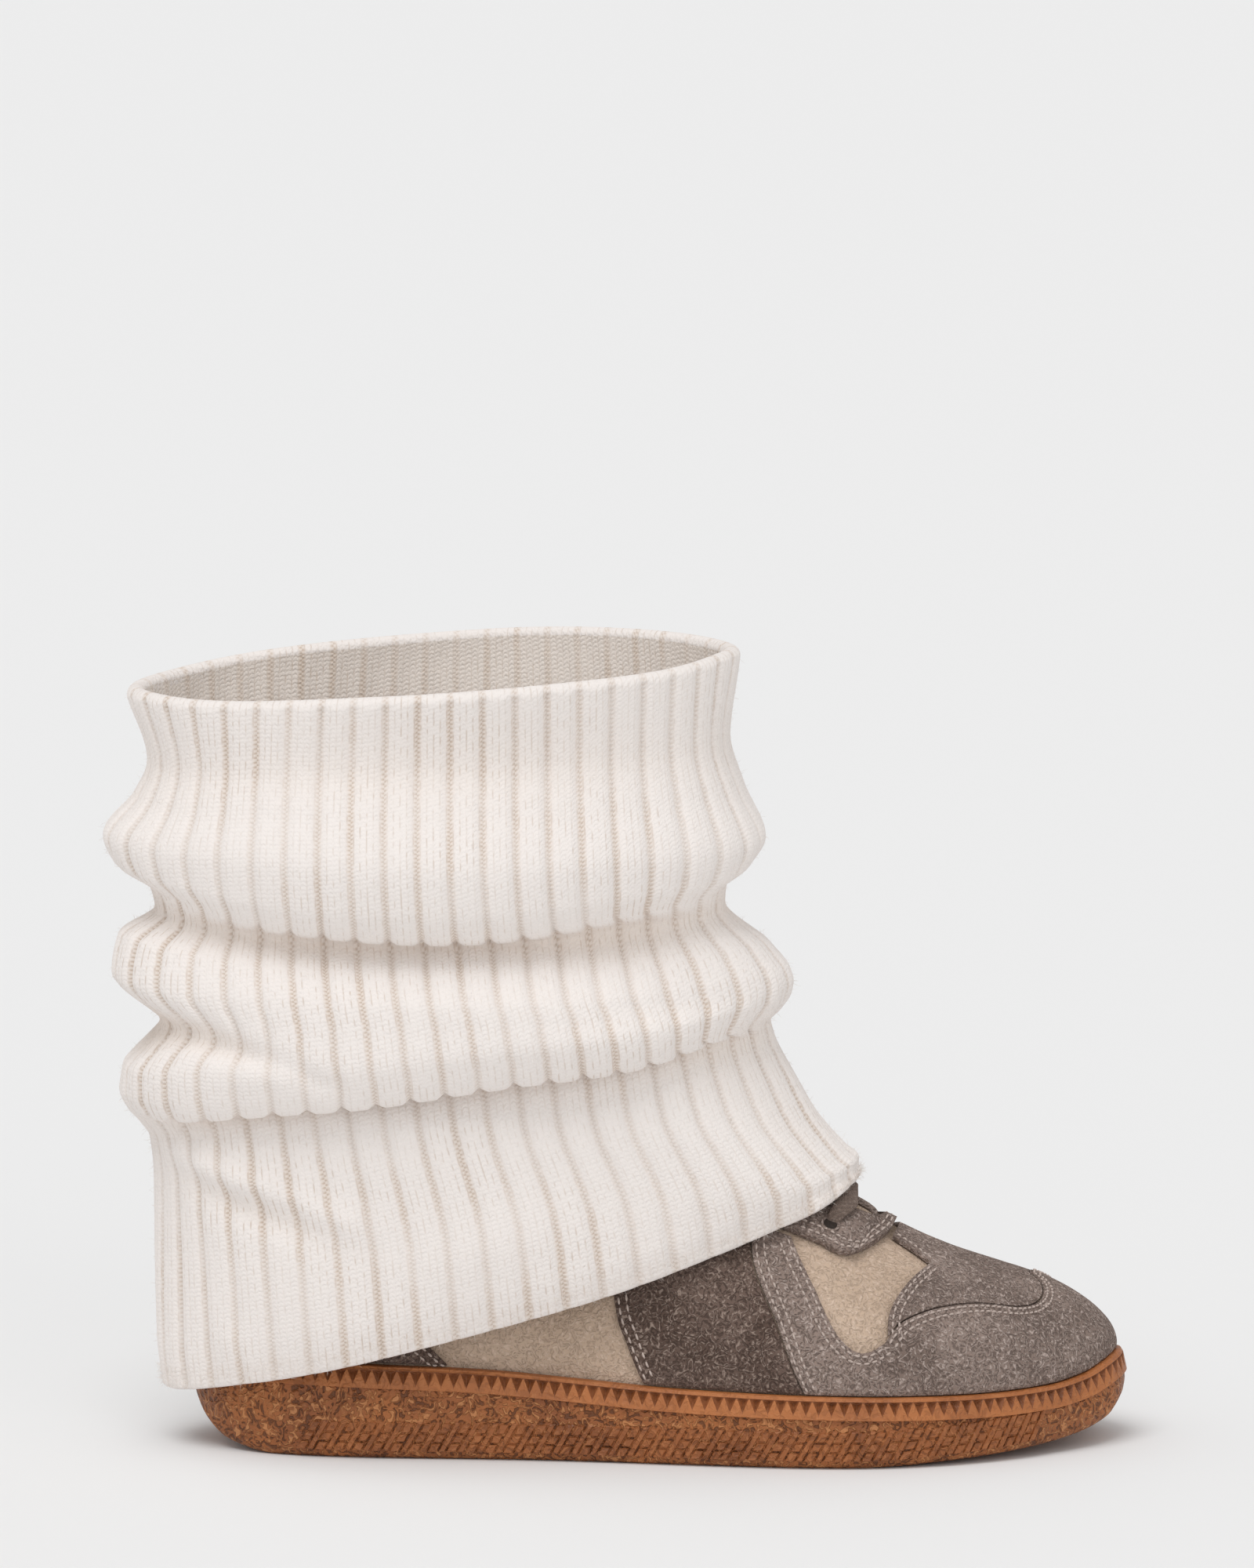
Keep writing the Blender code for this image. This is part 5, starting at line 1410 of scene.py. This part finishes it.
def knitted_field(rows, columns_per_rib):
    """The shaft's base face on a fine grid, its outward normals, stitch rows and rib shares."""
    coarse_places = np.linspace(0, 1, 120)
    columns = RIBS * columns_per_rib
    dense = np.linspace(0, 2 * math.pi, 1441)
    drawn = shaft_points(0.9, dense)
    run = np.concatenate([[0], np.cumsum(np.linalg.norm(np.diff(drawn, axis=0), axis=1))])
    angles = np.interp(np.arange(columns) * run[-1] / columns, run, dense)
    profile = shaft_points(np.linspace(0, 1, 600)[:, None], np.array([[0.3, 1.2, 2.0, 2.8, 3.6, 4.6, 5.6]]))
    climbed = np.linalg.norm(np.diff(profile, axis=0), axis=-1).mean(axis=1)
    climbed = np.concatenate([[0], np.cumsum(climbed)])
    places = np.interp(np.linspace(0, climbed[-1], rows), climbed, np.linspace(0, 1, 600))
    guide = skin_guide(SEAM_GAP + EYESTAY_THICKNESS)
    stand_off = KNIT_THICKNESS + SEAM_GAP + KNIT_SLACK
    picked = np.arange(0, columns, columns_per_rib // 2)
    coarse = shaft_points(coarse_places[:, None], angles[None, picked])
    pushed = np.array([[held_off(point, guide, stand_off)[:] for point in row] for row in coarse]) - coarse
    pushed = softened(pushed, 2, 1)
    spread = np.empty((rows, columns, 3))
    for axis in range(3):
        lines = [np.interp(places, coarse_places, pushed[:, k, axis]) for k in range(len(picked))]
        down = np.stack(lines, axis=1)
        wrapped = np.concatenate([down, down[:, :1]], axis=1)
        at = np.append(picked, columns)
        spread[..., axis] = np.stack([np.interp(np.arange(columns), at, line) for line in wrapped])
    base = shaft_points(places[:, None], angles[None, :]) + softened(spread, 1, 2)
    base = base + normals_of(base) * fold_lift(base)[..., None]
    normals = softened(normals_of(base), 1, 2)
    lumps = np.zeros((rows, columns))
    waves = np.random.default_rng(7)
    for _ in range(LUMP_WAVES):
        turns = int(waves.integers(2, 9))
        climbs = waves.uniform(4, 16)
        phase = waves.uniform(0, 2 * math.pi)
        height = waves.uniform(*LUMP_HEIGHTS)
        lumps += height * np.sin(turns * angles[None, :] + climbs * places[:, None] + phase)
    base = base + normals * lumps[..., None]
    normals = unit(softened(normals_of(base), 2, 2))
    risen = np.cumsum(np.linalg.norm(np.diff(base, axis=0), axis=-1), axis=0)
    climb = np.concatenate([np.zeros((1, columns)), risen])
    stitches = softened(climb, 0, 12) / STITCH_HEIGHT
    return base, normals, stitches, np.arange(columns) / columns_per_rib


def normals_of(grid):
    """Outward unit normals of a grid of points, closed round its columns."""
    round_it = np.roll(grid, -1, axis=1) - np.roll(grid, 1, axis=1)
    climb = np.gradient(grid, axis=0)
    return unit(np.cross(round_it, climb))


def make_knit():
    """The slouched rib-knit tube: its face with rolled hem and rim, its inside, and its hair."""
    per_rib = 8
    base, normals, stitches, ribs = knitted_field(KNIT_ROWS, per_rib)
    rows, columns = stitches.shape
    trough = np.abs(np.mod(ribs, 1.0) - 0.5) * 2
    sway = np.random.default_rng(3).uniform(0.8, 1.2, RIBS)[(ribs.astype(int)) % RIBS]
    groove = np.clip((trough - 0.5) / 0.5, 0, 1) ** 1.2
    relief = -RIB_RELIEF * groove * sway - 0.00022 * trough**2
    face = base + normals * relief[None, :, None]
    downward = unit(base[0] - base[1])
    upward = unit(base[-1] - base[-2])
    hem = rolled_edge(base[0], normals[0], downward, relief * 0.7, KNIT_THICKNESS, 7, 0.004)[::-1]
    rim_edge = rolled_edge(base[-1], normals[-1], upward, relief * 0.6, KNIT_EDGE, 9, 0.003)
    grid = np.concatenate([hem, face, rim_edge])
    below = stitches[:1] - np.arange(len(hem), 0, -1)[:, None] * 0.45
    above = stitches[-1:] + np.arange(1, len(rim_edge) + 1)[:, None] * 0.5
    climb = np.concatenate([below, stitches, above])
    coordinates = np.stack([np.broadcast_to(ribs, climb.shape), climb], axis=-1)
    piece = put_tube("knit_face", grid, coordinates, CREAM_KNIT, ("knit_shaft",), outward=True)
    # How far each point sinks below the unfolded face, stored as the crease attribute that the knit
    # materials use for painted shade in the folds.
    calm = softened(base, CREASE_SPAN, 0)
    sunk = np.einsum("rca,rca->rc", calm - base, normals) / CREASE_DEPTH
    sunk = np.concatenate([np.zeros((len(hem), columns)), sunk, np.zeros((len(rim_edge), columns))])
    crease_shade_mask = piece.data.attributes.new("crease", "FLOAT", "POINT")
    crease_shade_mask.data.foreach_set("value", np.clip(softened(sunk, 3, 3), 0.0, 1.0).astype(np.float32).ravel())
    near_rim = np.clip((np.linspace(0, 1, rows) - 0.88) / 0.12, 0, 1)
    wall = KNIT_THICKNESS + (KNIT_EDGE - KNIT_THICKNESS) * near_rim**2
    kept = np.arange(2, rows, 2)
    kept = np.append(kept, rows - 1)
    every = slice(None, None, 2)
    fading = np.clip((rows - 1 - kept) / 8, 0, 1)[:, None, None]
    inner_relief = (-0.0004 + 0.0009 * groove[every])[None, :, None] * fading
    inside = base[kept][:, every] - normals[kept][:, every] * (wall[kept][:, None, None] + inner_relief)
    inner_ribs = np.broadcast_to(ribs[every], inside.shape[:2])
    inner_coordinates = np.stack([inner_ribs, stitches[kept][:, every]], axis=-1)
    put_tube("knit_inside", inside, inner_coordinates, CREAM_LINING, ("knit_shaft",), outward=False)
    make_hair(face, normals)


def rolled_edge(points, normals, onward, relief, thickness, steps, tuck):
    """Rows that roll a knitted edge over from the face to the inside, starting next to the face."""
    radius = thickness / 2
    rows = []
    for step in range(1, steps + 1):
        angle = math.pi * step / steps
        fading = max(math.cos(angle), 0.0)
        out = radius * math.cos(angle) - radius
        rows.append(points + normals * (out + relief * fading)[:, None] + onward * radius * math.sin(angle))
    rows.append(points - normals * (thickness - 0.0008) - onward * tuck)
    return np.array(rows)


def put_tube(name, grid, coordinates, material, replaced, outward):
    """A knitted tube as one mesh, with a seam in its coordinates between the last rib and the first."""
    rows, columns = grid.shape[:2]
    faces = grid_faces(rows, columns)
    if not outward:
        faces = faces[:, ::-1]
    piece = put(name, grid.reshape(-1, 3), faces, material, "cream rib knit", replaced)
    layer = piece.data.uv_layers.new(name="stitches")
    corners = np.empty(len(piece.data.loops), dtype=np.int32)
    piece.data.loops.foreach_get("vertex_index", corners)
    spread = coordinates.reshape(-1, 2)[corners].reshape(-1, 4, 2).copy()
    across = spread[..., 0]
    wraps = (across.max(axis=1) - across.min(axis=1)) > RIBS / 2
    across[wraps] = np.where(across[wraps] < RIBS / 2, across[wraps] + RIBS, across[wraps])
    layer.data.foreach_set("uv", spread.astype(np.float32).ravel())
    return piece


def make_hair(face, normals):
    """Loose brushed hairs that stand off the knit, thickest along the hem."""
    chance = np.random.default_rng(11)
    rows, columns = face.shape[:2]
    spread = chance.integers(0, rows, HAIR_COUNT)
    at_hem = chance.integers(0, HEM_HAIR_ROWS, HAIR_COUNT // 2)
    row = np.concatenate([spread, at_hem])
    column = chance.integers(0, columns, len(row))
    root = face[row, column] - normals[row, column] * 0.0003
    lean = unit(chance.normal(size=(len(row), 3)))
    out = unit(normals[row, column] * 0.9 + lean)
    curl = unit(chance.normal(size=(len(row), 3)))
    length = chance.uniform(*HAIR_LENGTHS, len(row))[:, None]
    width = np.cross(out, curl)
    width = unit(width) * HAIR_WIDTH / 2
    middle = root + out * length * 0.5
    tip = middle + unit(out + curl * 0.8) * length * 0.5
    corners = (root - width, root + width, middle - width, middle + width, tip)
    verts = np.stack(corners, axis=1).reshape(-1, 3)
    first = np.arange(len(row)) * 5
    quads = np.stack([first, first + 1, first + 3, first + 2], axis=-1)
    points = np.stack([first + 2, first + 3, first + 4], axis=-1)
    put("knit_hair", verts, list(quads) + list(points), KNIT_HAIR, "cream rib knit")


def make_trainer():
    make_outsole()
    make_upper()
    make_panel("toe_suede", TOE_PANEL, (OUTER, INNER), TOE_PANEL_THICKNESS, TAUPE_SUEDE, "toe_panel")
    make_panel("vamp_suede", VAMP_PANEL, (OUTER, INNER), PANEL_THICKNESS, TAUPE_SUEDE, "vamp_panel")
    make_panel("eyestay_suede", EYESTAY, (OUTER, INNER), EYESTAY_THICKNESS, TAUPE_SUEDE, "eyestay")
    make_panel("quarter_suede_outer", QUARTER, (OUTER,), PANEL_THICKNESS, DARK_SUEDE, "quarter_outer")
    make_panel("quarter_suede_inner", QUARTER, (INNER,), PANEL_THICKNESS, DARK_SUEDE, "quarter_inner")
    make_panel("counter_suede", COUNTER, (OUTER, INNER), PANEL_THICKNESS, DARK_SUEDE, "heel_counter")
    make_tongue()
    make_laces()
    make_eyelets()
    make_stitching()
    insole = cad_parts["insole"]
    for slot in insole.material_slots:
        slot.material = INSOLE_CLOTH


FLOOR_COLOUR = (0.86, 0.86, 0.86)
FLOOR_REACH = 30.0
SKY_STRENGTH = 0.62

# The studio's lights: name, where it stands as a direction, its softness in degrees and its power
STUDIO_LIGHTS = (
    ("key", (-0.30, -0.55, 1.30), 36.0, 1.15),
    ("front", (0.25, -1.0, 0.25), 60.0, 0.45),
)

# The camera: lens and sensor in millimetres, its place and the point that it looks at in metres
LENS_LENGTH = 280.4
SENSOR_WIDTH = 36.0
CAMERA_PLACE = (0.0845, -3.470, 0.647)
CAMERA_AIM = (0.0845, 0.0, 0.1902)


def make_studio():
    """A pale floor that runs past the picture's edges, and broad soft lights from far off."""
    floor_material, _, shader = surface("pale floor", 0.9, specular=0.05)
    shader.inputs["Base Color"].default_value = (*FLOOR_COLOUR, 1.0)
    mesh = bpy.data.meshes.new("floor")
    half = FLOOR_REACH
    corners = [(-half, -half, 0), (half, -half, 0), (half, half, 0), (-half, half, 0)]
    mesh.from_pydata(corners, [], [(0, 1, 2, 3)])
    mesh.materials.append(floor_material)
    floor = bpy.data.objects.new("floor", mesh)
    bpy.context.scene.collection.objects.link(floor)
    world = bpy.data.worlds.new("studio")
    world.use_nodes = True
    background = world.node_tree.nodes["Background"]
    background.inputs["Color"].default_value = (1.0, 1.0, 1.0, 1.0)
    background.inputs["Strength"].default_value = SKY_STRENGTH
    bpy.context.scene.world = world
    for name, direction, softness, power in STUDIO_LIGHTS:
        light = bpy.data.lights.new(name, "SUN")
        light.angle = math.radians(softness)
        light.energy = power
        lamp = bpy.data.objects.new(name, light)
        lamp.location = direction
        lamp.rotation_euler = (-Vector(direction)).to_track_quat("-Z", "Y").to_euler()
        bpy.context.scene.collection.objects.link(lamp)
    bpy.context.scene.view_settings.view_transform = "Standard"


def make_camera():
    """The photo's view: from the outer side, a little above, far enough off to flatten the perspective."""
    lens = bpy.data.cameras.new("camera")
    lens.lens = LENS_LENGTH
    lens.sensor_width = SENSOR_WIDTH
    lens.clip_end = 200.0
    camera = bpy.data.objects.new("camera", lens)
    camera.location = CAMERA_PLACE
    aim = Vector(CAMERA_AIM) - camera.location
    camera.rotation_euler = aim.to_track_quat("-Z", "Y").to_euler()
    bpy.context.scene.collection.objects.link(camera)
    bpy.context.scene.camera = camera


make_camera()
make_studio()
make_trainer()
make_knit()

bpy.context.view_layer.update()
